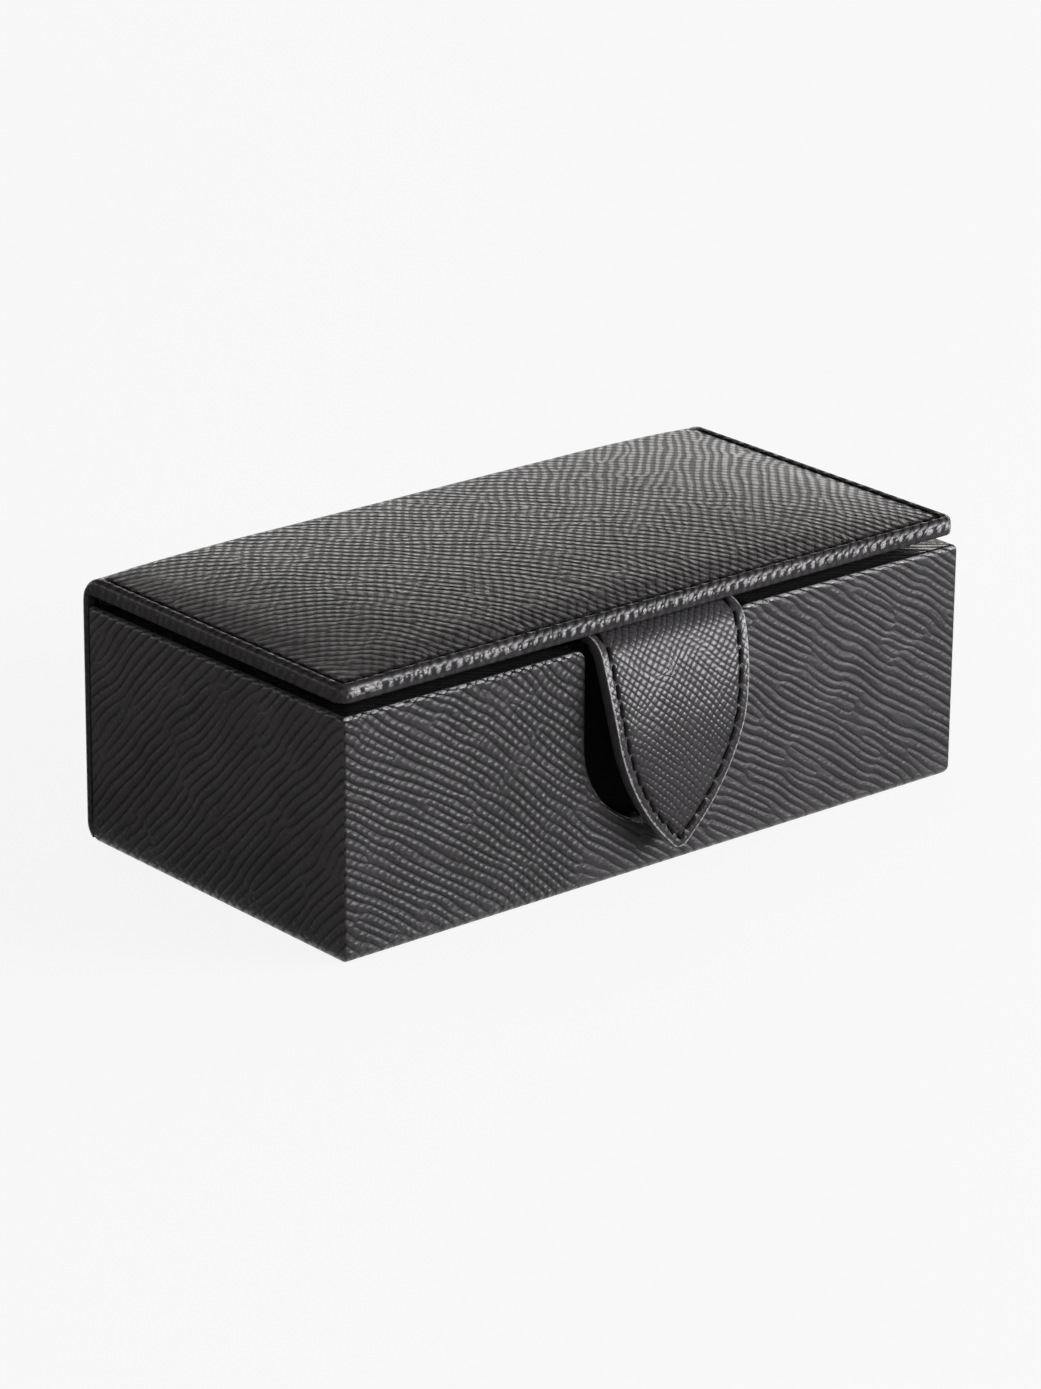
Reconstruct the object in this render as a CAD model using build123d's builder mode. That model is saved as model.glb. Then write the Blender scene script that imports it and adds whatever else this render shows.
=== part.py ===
"""Cufflink box: a leather-covered base with a finger recess, a padded stitched lid and a pointed pull tab.

Frame: origin at the centre of the underside, +X along the length, +Y to the back, +Z up. Sizes are in mm.
"""

import os
from math import asin, cos, degrees, radians, sin

from build123d import *

os.makedirs("parts", exist_ok=True)

# ---------------------------------------------------------------- base
length = 145.0  # outside, left to right
depth = 75.0  # outside, front to back, with the spine
rim_height = 45.4  # underside to the top of the rim
leather = 1.2  # leather round the boards
board = 5.0  # wall boards
floor_thick = 3.0  # floor board
cover = 0.5  # cloth under the box, between the edges of the leather turned in there
cover_fit = 0.1  # its clearance
spine = 1.6  # leather glued down the back, up to the hinge
corner_round = 0.8  # upright corners of the leather
edge_round = 1.0  # rim and edge of the recess
base_round = 1.6  # lower front and end edges
foot_round = 3.6  # lower back edge

# ---------------------------------------------------------------- finger recess in the front wall
recess_width = 36.0
recess_depth = 3.6
recess_floor = 9.5  # height of its lowest point above the underside
recess_shoulder = 2.5  # rounding where its sides meet the rim

# ---------------------------------------------------------------- inside
liner = 2.1  # suede-covered liner boards
divider = 2.4
divider_height = 37.5  # above the floor board
columns = 4
rows = 2
fit = 0.1  # side clearance of the dividers in the liners and in each other
cushion = 5.0
cushion_fit = 0.3  # clearance round each cushion
cushion_round = 1.5

# ---------------------------------------------------------------- lid
lid_gap = 2.0  # rim to the underside of the lid
lid_setback = 0.7  # lid behind the front face
lid_inset = 0.1  # lid inside each end face
lid_corner = 2.5  # front corners, seen from above
lid_lining = 0.8
lid_board_thick = 1.5
lid_leather = 1.0
lid_edge_round = 0.9
wrap_radius = 4.4  # outside of the leather where it turns down to the hinge
hinge_slit = 0.2  # between the lid's leather and the spine's, at the hinge line
stitch_inset = 2.0  # edge of the lid or tab to the middle of the stitch line
stitch_back_inset = 1.0  # start of the turn at the back to the end of the stitch line
stitch_corner = 1.0
thread_wide = 0.5
thread_deep = 0.3
foam_inset = 0.8  # stitch line to the edge of the foam
foam_rise = 1.8
foam_shoulder = 6.0  # width of the steeper edge of the foam
foam_shoulder_rise = 1.3
foam_back_rise = 0.9  # at the start of the turn at the back
foam_end = 10.0  # degrees above the hinge at which the padding runs out
pad_inset = 4.0  # front and ends of the lid to the inner pad
pad_back_inset = 5.0  # back of the box to the inner pad
pad_rest = 0.1  # inner pad above the rim

# ---------------------------------------------------------------- pull tab
tab_width = 34.2
tab_drop = 42.3  # underside of the lid to the tip
tab_cheek_drop = 20.4  # underside of the lid to where the taper quickens
tab_cheek_width = 29.8
tab_cheek_bulge = 0.5
tab_point_bulge = 1.7
tab_tip_width = 4.4
tab_tip_rise = 1.2
tab_skin = 1.0  # outer leather
tab_core_thick = 0.5
tab_lining_thick = 0.9
tab_bend = 5.0  # outside radius where it turns down from under the lid
tab_bend_inset = 1.3  # front edge of the lid back to the start of that bend
tab_lean = 17.6  # degrees from upright at the end of that bend
tab_curve = 64.0  # outside radius of the long curve that follows, down to upright
tab_clear = 0.3  # front edge of the lid out to the line where the tab folds
root_length = 10.0  # front edge of the lid back to the end of the root
root_fit = 0.2  # clearance of the root in the notch of the inner pad

# ---------------------------------------------------------------- places that follow from the sizes
front = -depth / 2
back = depth / 2
wall = leather + board  # one covered wall
carcass_depth = depth - spine
middle = -spine / 2  # centre of the carcass, front to back
well_length = length - 2 * wall
well_depth = carcass_depth - 2 * wall
floor_top = cover + floor_thick
cell_length = (well_length - 2 * liner - (columns - 1) * divider) / columns
cell_depth = (well_depth - 2 * liner - (rows - 1) * divider) / rows

lid_under = rim_height + lid_gap
lid_front = front + lid_setback
lid_half = length / 2 - lid_inset
lid_board_base = lid_under + lid_lining
lid_board_top = lid_board_base + lid_board_thick
lid_top = lid_board_top + lid_leather
wrap_y = back - wrap_radius  # centre of the turn at the back
wrap_z = lid_top - wrap_radius
hinge_z = wrap_z - hinge_slit / 2

tab_thick = tab_skin + tab_core_thick + tab_lining_thick
root_thick = tab_skin + tab_core_thick  # the lining stops at the fold
bend_y = lid_front + tab_bend_inset
bend_z = lid_under - tab_bend
fold_angle = degrees(asin((tab_bend_inset + tab_clear) / tab_bend))


def block(x0, x1, y0, y1, z0, z1):
    """Box between three pairs of coordinates."""
    with BuildPart() as made:
        with BuildSketch(Plane.XY.offset(z0)):
            with Locations(((x0 + x1) / 2, (y0 + y1) / 2)):
                Rectangle(x1 - x0, y1 - y0)
        extrude(amount=z1 - z0)
    return made.part


def recess_cut(grow):
    """U-shaped recess with rounded shoulders at the rim, every surface moved outwards by grow."""
    half = recess_width / 2 + grow
    top = rim_height - grow
    arm = recess_shoulder - grow
    bowl = recess_floor + recess_width / 2
    with BuildPart() as made:
        with BuildSketch(Plane.XZ.offset(-front)):
            with BuildLine() as outline:
                ThreePointArc((-half, bowl), (0, bowl - half), (half, bowl))
                Line((half, bowl), (half, top - arm))
                turn = arm * sin(radians(45))
                ThreePointArc(
                    (half, top - arm),
                    (half + arm - turn, top - arm + turn),
                    (half + arm, top),
                )
                Line((half + arm, top), (half + arm, lid_under))
                Line((half + arm, lid_under), (0, lid_under))
                mirror(about=Plane.YZ)
            make_face()
        extrude(amount=-(recess_depth + grow))
    return made.part


def finish(piece, name):
    """Labels a finished piece and writes it."""
    piece.label = name
    export_step(piece, f"parts/{name}.step")


# ---------------------------------------------------------------- boards of the base
board_half = length / 2 - leather
board_front = front + leather
board_back = middle + carcass_depth / 2 - leather
board_base = leather
board_top = rim_height - leather

with BuildPart() as front_wall_board:
    add(block(-board_half, board_half, board_front, board_front + board, board_base, board_top))
    add(recess_cut(leather), mode=Mode.SUBTRACT)
finish(front_wall_board.part, "front_wall_board")

with BuildPart() as rear_wall_board:
    add(block(-board_half, board_half, board_back - board, board_back, board_base, board_top))
finish(rear_wall_board.part, "rear_wall_board")

with BuildPart() as left_wall_board:
    start, end = board_front + board, board_back - board
    add(block(-board_half, board - board_half, start, end, board_base, board_top))
finish(left_wall_board.part, "left_wall_board")

with BuildPart() as right_wall_board:
    add(left_wall_board.part)
    mirror(about=Plane.YZ, mode=Mode.REPLACE)
finish(right_wall_board.part, "right_wall_board")

well_half = well_length / 2
well_front = board_front + board
well_back = board_back - board

with BuildPart() as floor_board:
    add(block(-well_half, well_half, well_front, well_back, cover, floor_top))
finish(floor_board.part, "floor_board")

with BuildPart() as underside_cover:
    with BuildSketch():
        with Locations((0, middle)):
            Rectangle(well_length - 2 * cover_fit, well_depth - 2 * cover_fit)
    extrude(amount=cover)
finish(underside_cover.part, "underside_cover")

# ---------------------------------------------------------------- leather of the base
# One jacket round all the boards, with the recess pressed into it, cut apart at the mitred corners.
def foot():
    """Long block that ends at the back of the box, with its lower back edge rounded."""
    with BuildPart() as made:
        with BuildSketch(Plane.YZ) as end:
            with Locations((back - depth, lid_under / 2)):
                Rectangle(2 * depth, lid_under)
            fillet(end.vertices().group_by(Axis.Y)[0].sort_by(Axis.X)[-1], foot_round)
        extrude(amount=length, both=True)
    return made.part


with BuildPart() as jacket:
    with BuildSketch():
        with Locations((0, middle)):
            Rectangle(length, carcass_depth)
    extrude(amount=rim_height)
    fillet(jacket.edges().filter_by(Axis.Z), corner_round)
    add(recess_cut(0), mode=Mode.SUBTRACT)
    flat_edges = jacket.edges().filter_by(lambda edge: abs((edge @ 0).Z - (edge @ 1).Z) < 1e-6)
    fillet(flat_edges.group_by(Axis.Z)[0], base_round)
    flat_edges = jacket.edges().filter_by(lambda edge: abs((edge @ 0).Z - (edge @ 1).Z) < 1e-6)
    outline = flat_edges.filter_by(
        lambda edge: (edge @ 0.5).Z > rim_height / 2 and not front < (edge @ 0.5).Y < front + wall
    )
    outline += jacket.faces().sort_by(Axis.Y)[0].edges().filter_by(
        lambda edge: abs((edge @ 0.5).X) < recess_width / 2 + recess_shoulder
        and (edge @ 0.5).Z > 2 * base_round
    )
    fillet(outline, edge_round)
    add(foot(), mode=Mode.INTERSECT)
    add(block(-well_half, well_half, well_front, well_back, 0, lid_under), mode=Mode.SUBTRACT)
    for covered in (front_wall_board, rear_wall_board, left_wall_board, right_wall_board):
        add(covered.part, mode=Mode.SUBTRACT)


def jacket_panel(name, *plan):
    """Part of the jacket that lies inside an outline seen from above."""
    with BuildPart() as made:
        add(jacket.part)
        with BuildSketch():
            with BuildLine():
                Polyline(*plan, close=True)
            make_face()
        extrude(amount=rim_height, mode=Mode.INTERSECT)
    finish(made.part, name)


jacket_back = middle + carcass_depth / 2
front_corners = (
    ((-length / 2, front), (-well_half, well_front)),
    ((length / 2, front), (well_half, well_front)),
)
back_corners = (
    ((-length / 2, jacket_back), (-well_half, well_back)),
    ((length / 2, jacket_back), (well_half, well_back)),
)
jacket_panel("front_leather", *front_corners[0], *reversed(front_corners[1]))
jacket_panel("left_leather", *front_corners[0], *reversed(back_corners[0]))
jacket_panel("right_leather", *front_corners[1], *reversed(back_corners[1]))
jacket_panel("rear_leather", *back_corners[0], *reversed(back_corners[1]))

with BuildPart() as spine_leather:
    add(block(-length / 2, length / 2, back - spine, back, 0, wrap_z - hinge_slit))
    rear_face = spine_leather.faces().sort_by(Axis.Y)[-1]
    fillet(rear_face.edges().filter_by(Axis.Z), corner_round)
    add(foot(), mode=Mode.INTERSECT)
finish(spine_leather.part, "spine_leather")

# ---------------------------------------------------------------- liners, dividers and cushions
liner_half = well_half - liner
liner_front_y = well_front + liner
liner_back_y = well_back - liner

with BuildPart() as liner_front:
    add(block(-well_half, well_half, well_front, liner_front_y, floor_top, rim_height))
finish(liner_front.part, "liner_front")

with BuildPart() as liner_rear:
    add(block(-well_half, well_half, liner_back_y, well_back, floor_top, rim_height))
finish(liner_rear.part, "liner_rear")

with BuildPart() as liner_left:
    add(block(-well_half, -liner_half, liner_front_y, liner_back_y, floor_top, rim_height))
finish(liner_left.part, "liner_left")

with BuildPart() as liner_right:
    add(liner_left.part)
    mirror(about=Plane.YZ, mode=Mode.REPLACE)
finish(liner_right.part, "liner_right")

cross_places = [-liner_half + (n + 1) * cell_length + (n + 0.5) * divider for n in range(columns - 1)]
long_places = [liner_front_y + (n + 1) * cell_depth + (n + 0.5) * divider for n in range(rows - 1)]
divider_top = floor_top + divider_height
lap = floor_top + divider_height / 2  # where the crossing dividers meet
slot = divider / 2 + fit

for number, y in enumerate(long_places, 1):
    with BuildPart() as long_divider:
        reach = liner_half - fit
        add(block(-reach, reach, y - divider / 2, y + divider / 2, floor_top, divider_top))
        for x in cross_places:
            add(block(x - slot, x + slot, y - slot, y + slot, lap - fit, lid_under), mode=Mode.SUBTRACT)
    finish(long_divider.part, f"long_divider_{number}")

for number, x in enumerate(cross_places, 1):
    with BuildPart() as cross_divider:
        start, end = liner_front_y + fit, liner_back_y - fit
        add(block(x - divider / 2, x + divider / 2, start, end, floor_top, divider_top))
        for y in long_places:
            add(block(x - slot, x + slot, y - slot, y + slot, 0, lap + fit), mode=Mode.SUBTRACT)
    finish(cross_divider.part, f"cross_divider_{number}")

for row in range(rows):
    for column in range(columns):
        x = -liner_half + (column + 0.5) * cell_length + column * divider
        y = liner_front_y + (row + 0.5) * cell_depth + row * divider
        with BuildPart() as cushion_pad:
            with BuildSketch(Plane.XY.offset(floor_top)):
                with Locations((x, y)):
                    Rectangle(cell_length - 2 * cushion_fit, cell_depth - 2 * cushion_fit)
            extrude(amount=cushion)
            fillet(cushion_pad.faces().sort_by(Axis.Z)[-1].edges(), cushion_round)
        finish(cushion_pad.part, f"cushion_{row * columns + column + 1}")

# ---------------------------------------------------------------- lid
stitch_front = lid_front + stitch_inset
stitch_back = wrap_y - stitch_back_inset
stitch_half = lid_half - stitch_inset


def lid_slab(bottom, top):
    """Layer of the lid under its leather, its back edge cut to the inside of the turn."""
    inside = wrap_radius - lid_leather
    with BuildPart() as made:
        with BuildSketch(Plane.YZ):
            with Locations((wrap_y, wrap_z)):
                Circle(inside)
            with Locations(((lid_front + wrap_y) / 2, wrap_z)):
                Rectangle(wrap_y - lid_front, 2 * inside)
            with Locations((0, (bottom + top) / 2)):
                Rectangle(2 * depth, top - bottom, mode=Mode.INTERSECT)
        extrude(amount=lid_half, both=True)
        fillet(made.edges().filter_by(Axis.Z).group_by(Axis.Y)[0], lid_corner)
    return made.part


def padding():
    """Shallow crown on the lid board, inside the stitches, that runs on over the turn at the back."""
    base = lid_board_top
    shoulder = base + foam_shoulder_rise
    start = stitch_front + foam_inset
    edge = stitch_half - foam_inset
    inside = wrap_radius - lid_leather
    turn = [
        (wrap_y + inside * cos(radians(angle)), wrap_z + inside * sin(radians(angle)))
        for angle in (foam_end, (foam_end + 90) / 2, 90)
    ]
    with BuildPart() as made:
        with BuildSketch(Plane.YZ):
            with BuildLine():
                crown = ThreePointArc(
                    (start + foam_shoulder, shoulder), (0, base + foam_rise), (wrap_y, base + foam_back_rise)
                )
                TangentArc(crown @ 0, (start, base), tangent=-(crown % 0))
                TangentArc(crown @ 1, turn[0], tangent=crown % 1)
                ThreePointArc(*turn)
                Line(turn[-1], (start, base))
            make_face()
        extrude(amount=edge, both=True)
        with BuildSketch(Plane.XZ):
            with BuildLine():
                crown = ThreePointArc(
                    (foam_shoulder - edge, shoulder), (0, base + foam_rise), (edge - foam_shoulder, shoulder)
                )
                TangentArc(crown @ 0, (-edge, base), tangent=-(crown % 0))
                TangentArc(crown @ 1, (edge, base), tangent=crown % 1)
                Polyline((-edge, base), (-edge, wrap_z), (edge, wrap_z), (edge, base))
            make_face()
        extrude(amount=depth, both=True, mode=Mode.INTERSECT)
    return made.part


def stitch_line(top):
    """Thread lying in the top of the lid, along its front and both ends."""
    run = stitch_back - stitch_front
    with BuildPart() as made:
        with BuildSketch(Plane.XY.offset(top)):
            with Locations((0, stitch_back)):
                for spread, mode in ((thread_wide, Mode.ADD), (-thread_wide, Mode.SUBTRACT)):
                    RectangleRounded(
                        2 * stitch_half + spread, 2 * run + spread, stitch_corner + spread / 2, mode=mode
                    )
                Rectangle(length, 2 * run, align=(Align.CENTER, Align.MIN), mode=Mode.SUBTRACT)
        extrude(amount=-thread_deep)
    return made.part


with BuildPart() as lid_lining_leather:
    add(lid_slab(lid_under, lid_board_base))
finish(lid_lining_leather.part, "lid_lining_leather")

with BuildPart() as lid_board:
    add(lid_slab(lid_board_base, lid_board_top))
finish(lid_board.part, "lid_board")

with BuildPart() as lid_foam:
    add(padding())
finish(lid_foam.part, "lid_foam")

with BuildPart() as lid_thread:
    add(stitch_line(lid_top))
finish(lid_thread.part, "lid_thread")

with BuildPart() as lid_top_leather:
    with BuildSketch(Plane.YZ):
        with Locations((wrap_y, wrap_z)):
            Circle(wrap_radius)
            Circle(wrap_radius - lid_leather, mode=Mode.SUBTRACT)
        with Locations(((lid_front + wrap_y) / 2, wrap_z)):
            Rectangle(wrap_y - lid_front, 2 * wrap_radius)
            Rectangle(wrap_y - lid_front, 2 * (wrap_radius - lid_leather), mode=Mode.SUBTRACT)
        with Locations((0, wrap_z + wrap_radius / 2)):
            Rectangle(2 * depth, wrap_radius, mode=Mode.INTERSECT)
    extrude(amount=lid_half, both=True)
    fillet(lid_top_leather.edges().filter_by(Axis.Z).group_by(Axis.Y)[0], lid_corner)
    rim = lid_top_leather.faces().filter_by(Axis.Z).sort_by(Axis.Z)[-1].edges()
    fillet(rim.filter_by(lambda edge: (edge @ 0.5).Y < wrap_y - lid_edge_round), lid_edge_round)
    add(lid_foam.part.moved(Location((0, 0, lid_leather))))
    add(lid_foam.part, mode=Mode.SUBTRACT)
    add(lid_thread.part, mode=Mode.SUBTRACT)
finish(lid_top_leather.part, "lid_top_leather")

with BuildPart() as lid_inner_pad:
    half = lid_half - pad_inset
    start, end = lid_front + pad_inset, back - pad_back_inset
    add(block(-half, half, start, end, rim_height + pad_rest, lid_under))
    notch = tab_width / 2 + root_fit
    notch_end = lid_front + root_length + root_fit
    add(block(-notch, notch, lid_front, notch_end, rim_height, lid_under), mode=Mode.SUBTRACT)
finish(lid_inner_pad.part, "lid_inner_pad")


# ---------------------------------------------------------------- pull tab
def bend_point(radius, angle):
    """Point on the bend at an angle from straight up, as (y, z)."""
    return bend_y - radius * sin(radians(angle)), bend_z + radius * cos(radians(angle))


def curve_point(radius, lean):
    """Point on the long curve where the tab leans out by an angle, as (y, z)."""
    start = bend_point(tab_bend, 90 - tab_lean)
    centre_y = start[0] + tab_curve * cos(radians(tab_lean))
    centre_z = start[1] - tab_curve * sin(radians(tab_lean))
    return centre_y - radius * cos(radians(lean)), centre_z + radius * sin(radians(lean))


def tab_band(near, far):
    """Hanging tab between two depths below its outer face, as wide as the tab at its root."""
    turn = 90 - tab_lean
    tip = lid_under - tab_drop
    with BuildPart() as made:
        with BuildSketch(Plane.YZ):
            with BuildLine():
                for below in (near, far):
                    bend, curve = tab_bend - below, tab_curve - below
                    ThreePointArc(*[bend_point(bend, a) for a in (fold_angle, (fold_angle + turn) / 2, turn)])
                    ThreePointArc(*[curve_point(curve, a) for a in (tab_lean, tab_lean / 2, 0)])
                    Line(curve_point(curve, 0), (curve_point(curve, 0)[0], tip))
                Line(bend_point(tab_bend - near, fold_angle), bend_point(tab_bend - far, fold_angle))
                Line((curve_point(tab_curve - near, 0)[0], tip), (curve_point(tab_curve - far, 0)[0], tip))
            make_face()
        extrude(amount=tab_width / 2, both=True)
    return made.part


def tab_prism(inset=0):
    """Front view of the tab as a long prism: slightly bowed sides that run into a rounded point."""
    tip = lid_under - tab_drop
    shoulder = (tab_width / 2, lid_under)
    cheek = (tab_cheek_width / 2, lid_under - tab_cheek_drop)
    point = (tab_tip_width / 2, tip + tab_tip_rise)
    with BuildPart() as made:
        with BuildSketch(Plane.XZ):
            with BuildLine():
                SagittaArc(shoulder, cheek, tab_cheek_bulge)
                SagittaArc(cheek, point, tab_point_bulge)
                ThreePointArc(point, (0, tip), (-point[0], point[1]))
                mirror(about=Plane.YZ)
                Line(shoulder, (-shoulder[0], shoulder[1]))
            make_face()
            if inset:
                offset(amount=-inset, kind=Kind.INTERSECTION)
        extrude(amount=depth, both=True)
    return made.part


def tab_layer(near, far):
    """One layer of the hanging tab, cut to the tab's outline."""
    with BuildPart() as made:
        add(tab_band(near, far))
        add(tab_prism(), mode=Mode.INTERSECT)
    return made.part


with BuildPart() as tab_thread:
    add(tab_band(0, thread_deep))
    add(tab_prism(stitch_inset - thread_wide / 2), mode=Mode.INTERSECT)
    add(tab_prism(stitch_inset + thread_wide / 2), mode=Mode.SUBTRACT)
finish(tab_thread.part, "tab_thread")

with BuildPart() as tab_outer_leather:
    add(tab_layer(0, tab_skin))
    add(tab_thread.part, mode=Mode.SUBTRACT)
finish(tab_outer_leather.part, "tab_outer_leather")

with BuildPart() as tab_core:
    add(tab_layer(tab_skin, tab_skin + tab_core_thick))
finish(tab_core.part, "tab_core")

with BuildPart() as tab_lining_leather:
    add(tab_layer(tab_skin + tab_core_thick, tab_thick))
finish(tab_lining_leather.part, "tab_lining_leather")

with BuildPart() as tab_root:
    with BuildSketch(Plane.YZ):
        with BuildLine():
            root_end = lid_front + root_length
            inner = tab_bend - root_thick
            Polyline(
                bend_point(tab_bend, 0),
                (root_end, lid_under),
                (root_end, lid_under - root_thick),
                bend_point(inner, 0),
            )
            ThreePointArc(*[bend_point(inner, a) for a in (0, fold_angle / 2, fold_angle)])
            Line(bend_point(inner, fold_angle), bend_point(tab_bend, fold_angle))
            ThreePointArc(*[bend_point(tab_bend, a) for a in (fold_angle, fold_angle / 2, 0)])
        make_face()
    extrude(amount=tab_width / 2, both=True)
finish(tab_root.part, "tab_root")
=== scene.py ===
# %% [markdown]
# # A leather cufflink box, dressed in Blender
# The box is a stack of greyboards wrapped in dark cross-grained leather: a covered base with a finger
# recess, a padded and stitched lid, and a pointed tab that hangs from under the lid.
# The boards and joints come from the packed model. This lesson adds what a camera sees: the padded skin
# of the lid, every stitch, the painted edges, the soft inside, and the grain of each leather.

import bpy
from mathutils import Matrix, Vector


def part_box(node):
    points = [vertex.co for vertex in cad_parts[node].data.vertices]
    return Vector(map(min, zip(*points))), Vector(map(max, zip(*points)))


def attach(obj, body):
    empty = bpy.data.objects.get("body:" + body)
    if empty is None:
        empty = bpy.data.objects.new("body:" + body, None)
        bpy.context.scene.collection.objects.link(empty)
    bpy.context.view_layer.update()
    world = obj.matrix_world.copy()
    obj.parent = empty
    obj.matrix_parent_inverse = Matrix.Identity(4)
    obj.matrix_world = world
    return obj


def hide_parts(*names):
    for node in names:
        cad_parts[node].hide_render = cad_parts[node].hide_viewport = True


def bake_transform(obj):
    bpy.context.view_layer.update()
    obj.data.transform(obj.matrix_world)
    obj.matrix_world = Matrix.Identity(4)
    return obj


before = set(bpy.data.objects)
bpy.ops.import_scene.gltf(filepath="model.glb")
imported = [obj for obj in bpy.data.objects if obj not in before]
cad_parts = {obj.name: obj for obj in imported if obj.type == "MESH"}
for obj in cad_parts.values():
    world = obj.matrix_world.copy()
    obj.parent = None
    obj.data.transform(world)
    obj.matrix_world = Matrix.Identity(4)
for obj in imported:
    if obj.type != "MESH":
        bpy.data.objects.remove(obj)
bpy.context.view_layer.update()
print("nodes in the frame:", len(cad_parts))

# %% Tools for the rest of the lesson
from math import acos, asin, cos, hypot, pi, radians, sin

import bmesh
import bpy
import numpy as np
from mathutils import Matrix, Vector, noise
from mathutils.geometry import delaunay_2d_cdt

MM = 0.001
PER_MM = (1 / MM,) * 3  # turns a shader's metres into millimetres
scene = bpy.context.scene
print("one millimetre is", MM, "m")

# %% [markdown]
# ## The camera
# A long lens a metre away keeps the upright edges of the box nearly parallel. The camera's own axes are
# given as three directions, because a small roll is easier to write that way than as Euler angles.

# %% Camera
CAMERA_PLACE = Vector((-607.902, -713.989, 372.430)) * MM
YAW, PITCH, ROLL = radians(40.3432), radians(20.4992), radians(0.53961)
LENS, SENSOR = 141.677, 36  # mm

forward = Vector((sin(YAW) * cos(PITCH), cos(YAW) * cos(PITCH), -sin(PITCH)))
level = Vector((cos(YAW), -sin(YAW), 0))
upward = level.cross(forward)
right = cos(ROLL) * level + sin(ROLL) * upward
up = -sin(ROLL) * level + cos(ROLL) * upward
camera_data = bpy.data.cameras.new("camera")
camera_data.sensor_width, camera_data.lens = SENSOR, LENS
camera_data.clip_start, camera_data.clip_end = 0.05, 50
camera = bpy.data.objects.new("camera", camera_data)
axes = Matrix((right, up, -forward)).transposed().to_4x4()
camera.matrix_world = Matrix.Translation(CAMERA_PLACE) @ axes
scene.collection.objects.link(camera)
scene.camera = camera
scene.view_settings.view_transform = "Standard"
print("camera to the box:", round(CAMERA_PLACE.length, 3), "m")

# %% [markdown]
# ## A short way to write shader nodes
# Grain is arithmetic on coordinates, which takes many nodes. This small helper adds one node per call and
# gives back its output, so that a pattern reads like a formula.


# %% Node helper
class Nodes:
    """Adds nodes to a tree. Each call returns the socket to use next."""

    def __init__(self, tree):
        self.tree = tree

    def put(self, kind, settings=(), links=(), out=0):
        node = self.tree.nodes.new(kind)
        for name, value in dict(settings).items():
            setattr(node, name, value)
        for key, value in dict(links).items():
            if isinstance(value, bpy.types.NodeSocket):
                self.tree.links.new(value, node.inputs[key])
            else:
                node.inputs[key].default_value = value
        return node.outputs[out]

    def sum(self, kind, a, b=0.0, c=0.0):
        return self.put("ShaderNodeMath", {"operation": kind}, {0: a, 1: b, 2: c})

    def vector(self, kind, a, b=(0, 0, 0)):
        out = 1 if kind in ("DOT_PRODUCT", "LENGTH") else 0
        return self.put("ShaderNodeVectorMath", {"operation": kind}, {0: a, 1: b}, out)

    def ramp(self, value, low, high, start=0.0, end=1.0):
        settings = {"interpolation_type": "SMOOTHSTEP"}
        return self.put("ShaderNodeMapRange", settings, {0: value, 1: low, 2: high, 3: start, 4: end})

    def noise(self, where, size, detail=2.0, rough=0.5):
        links = {"Vector": where, "Scale": 1 / size, "Detail": detail, "Roughness": rough}
        return self.put("ShaderNodeTexNoise", {}, links)

    def blend(self, share, a, b):
        return self.put("ShaderNodeMix", {"data_type": "RGBA"}, {0: share, 6: a, 7: b}, 2)

    def group(self, tree, links, out=0):
        return self.put("ShaderNodeGroup", {"node_tree": tree}, links, out)

    def part(self, vector, axis):
        return self.put("ShaderNodeSeparateXYZ", {}, {0: vector}, axis)

    def mark(self, name):
        """A number that is stored on the points of the piece."""
        return self.put("ShaderNodeAttribute", {"attribute_name": name}, out=2)

    def own_place(self):
        """Millimetres in the piece's own space, so that a pattern moves with the piece."""
        return self.vector("MULTIPLY", self.put("ShaderNodeTexCoord", out=3), PER_MM)

    def dress(self, shader, colour, rough, height, deep, strength=1.0):
        """Gives a shader its colour, its roughness and its relief, deep in mm."""
        relief = {"Strength": strength, "Distance": deep * MM, "Height": height}
        bump = self.put("ShaderNodeBump", {}, relief)
        for socket, value in (("Base Color", colour), ("Roughness", rough), ("Normal", bump)):
            self.tree.links.new(value, shader.inputs[socket])


def new_group(name, inputs, outputs):
    """Node group with named sockets: returns its Nodes, its inputs by name, and its output node."""
    tree = bpy.data.node_groups.new(name, "ShaderNodeTree")
    for label, kind, start in inputs:
        socket = tree.interface.new_socket(label, in_out="INPUT", socket_type="NodeSocket" + kind)
        if start is not None:
            socket.default_value = start
    for label, kind in outputs:
        tree.interface.new_socket(label, in_out="OUTPUT", socket_type="NodeSocket" + kind)
    entry, last = tree.nodes.new("NodeGroupInput"), tree.nodes.new("NodeGroupOutput")
    return Nodes(tree), {s.name: s for s in entry.outputs}, last


print("node helper:", ", ".join(name for name in vars(Nodes) if name[0] != "_"))

# %% [markdown]
# ## Pressed lines, the stuff of cross grain
# Cross-grained leather is calf that a hot plate has pressed with two sets of fine lines. The lines wander,
# merge and end as the hide gives way. Gabor noise draws just this: waves in one direction whose phase
# slips here and there. One group makes one set: 0 in the groove and 1 on the ridge, and how firm it is.

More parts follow.
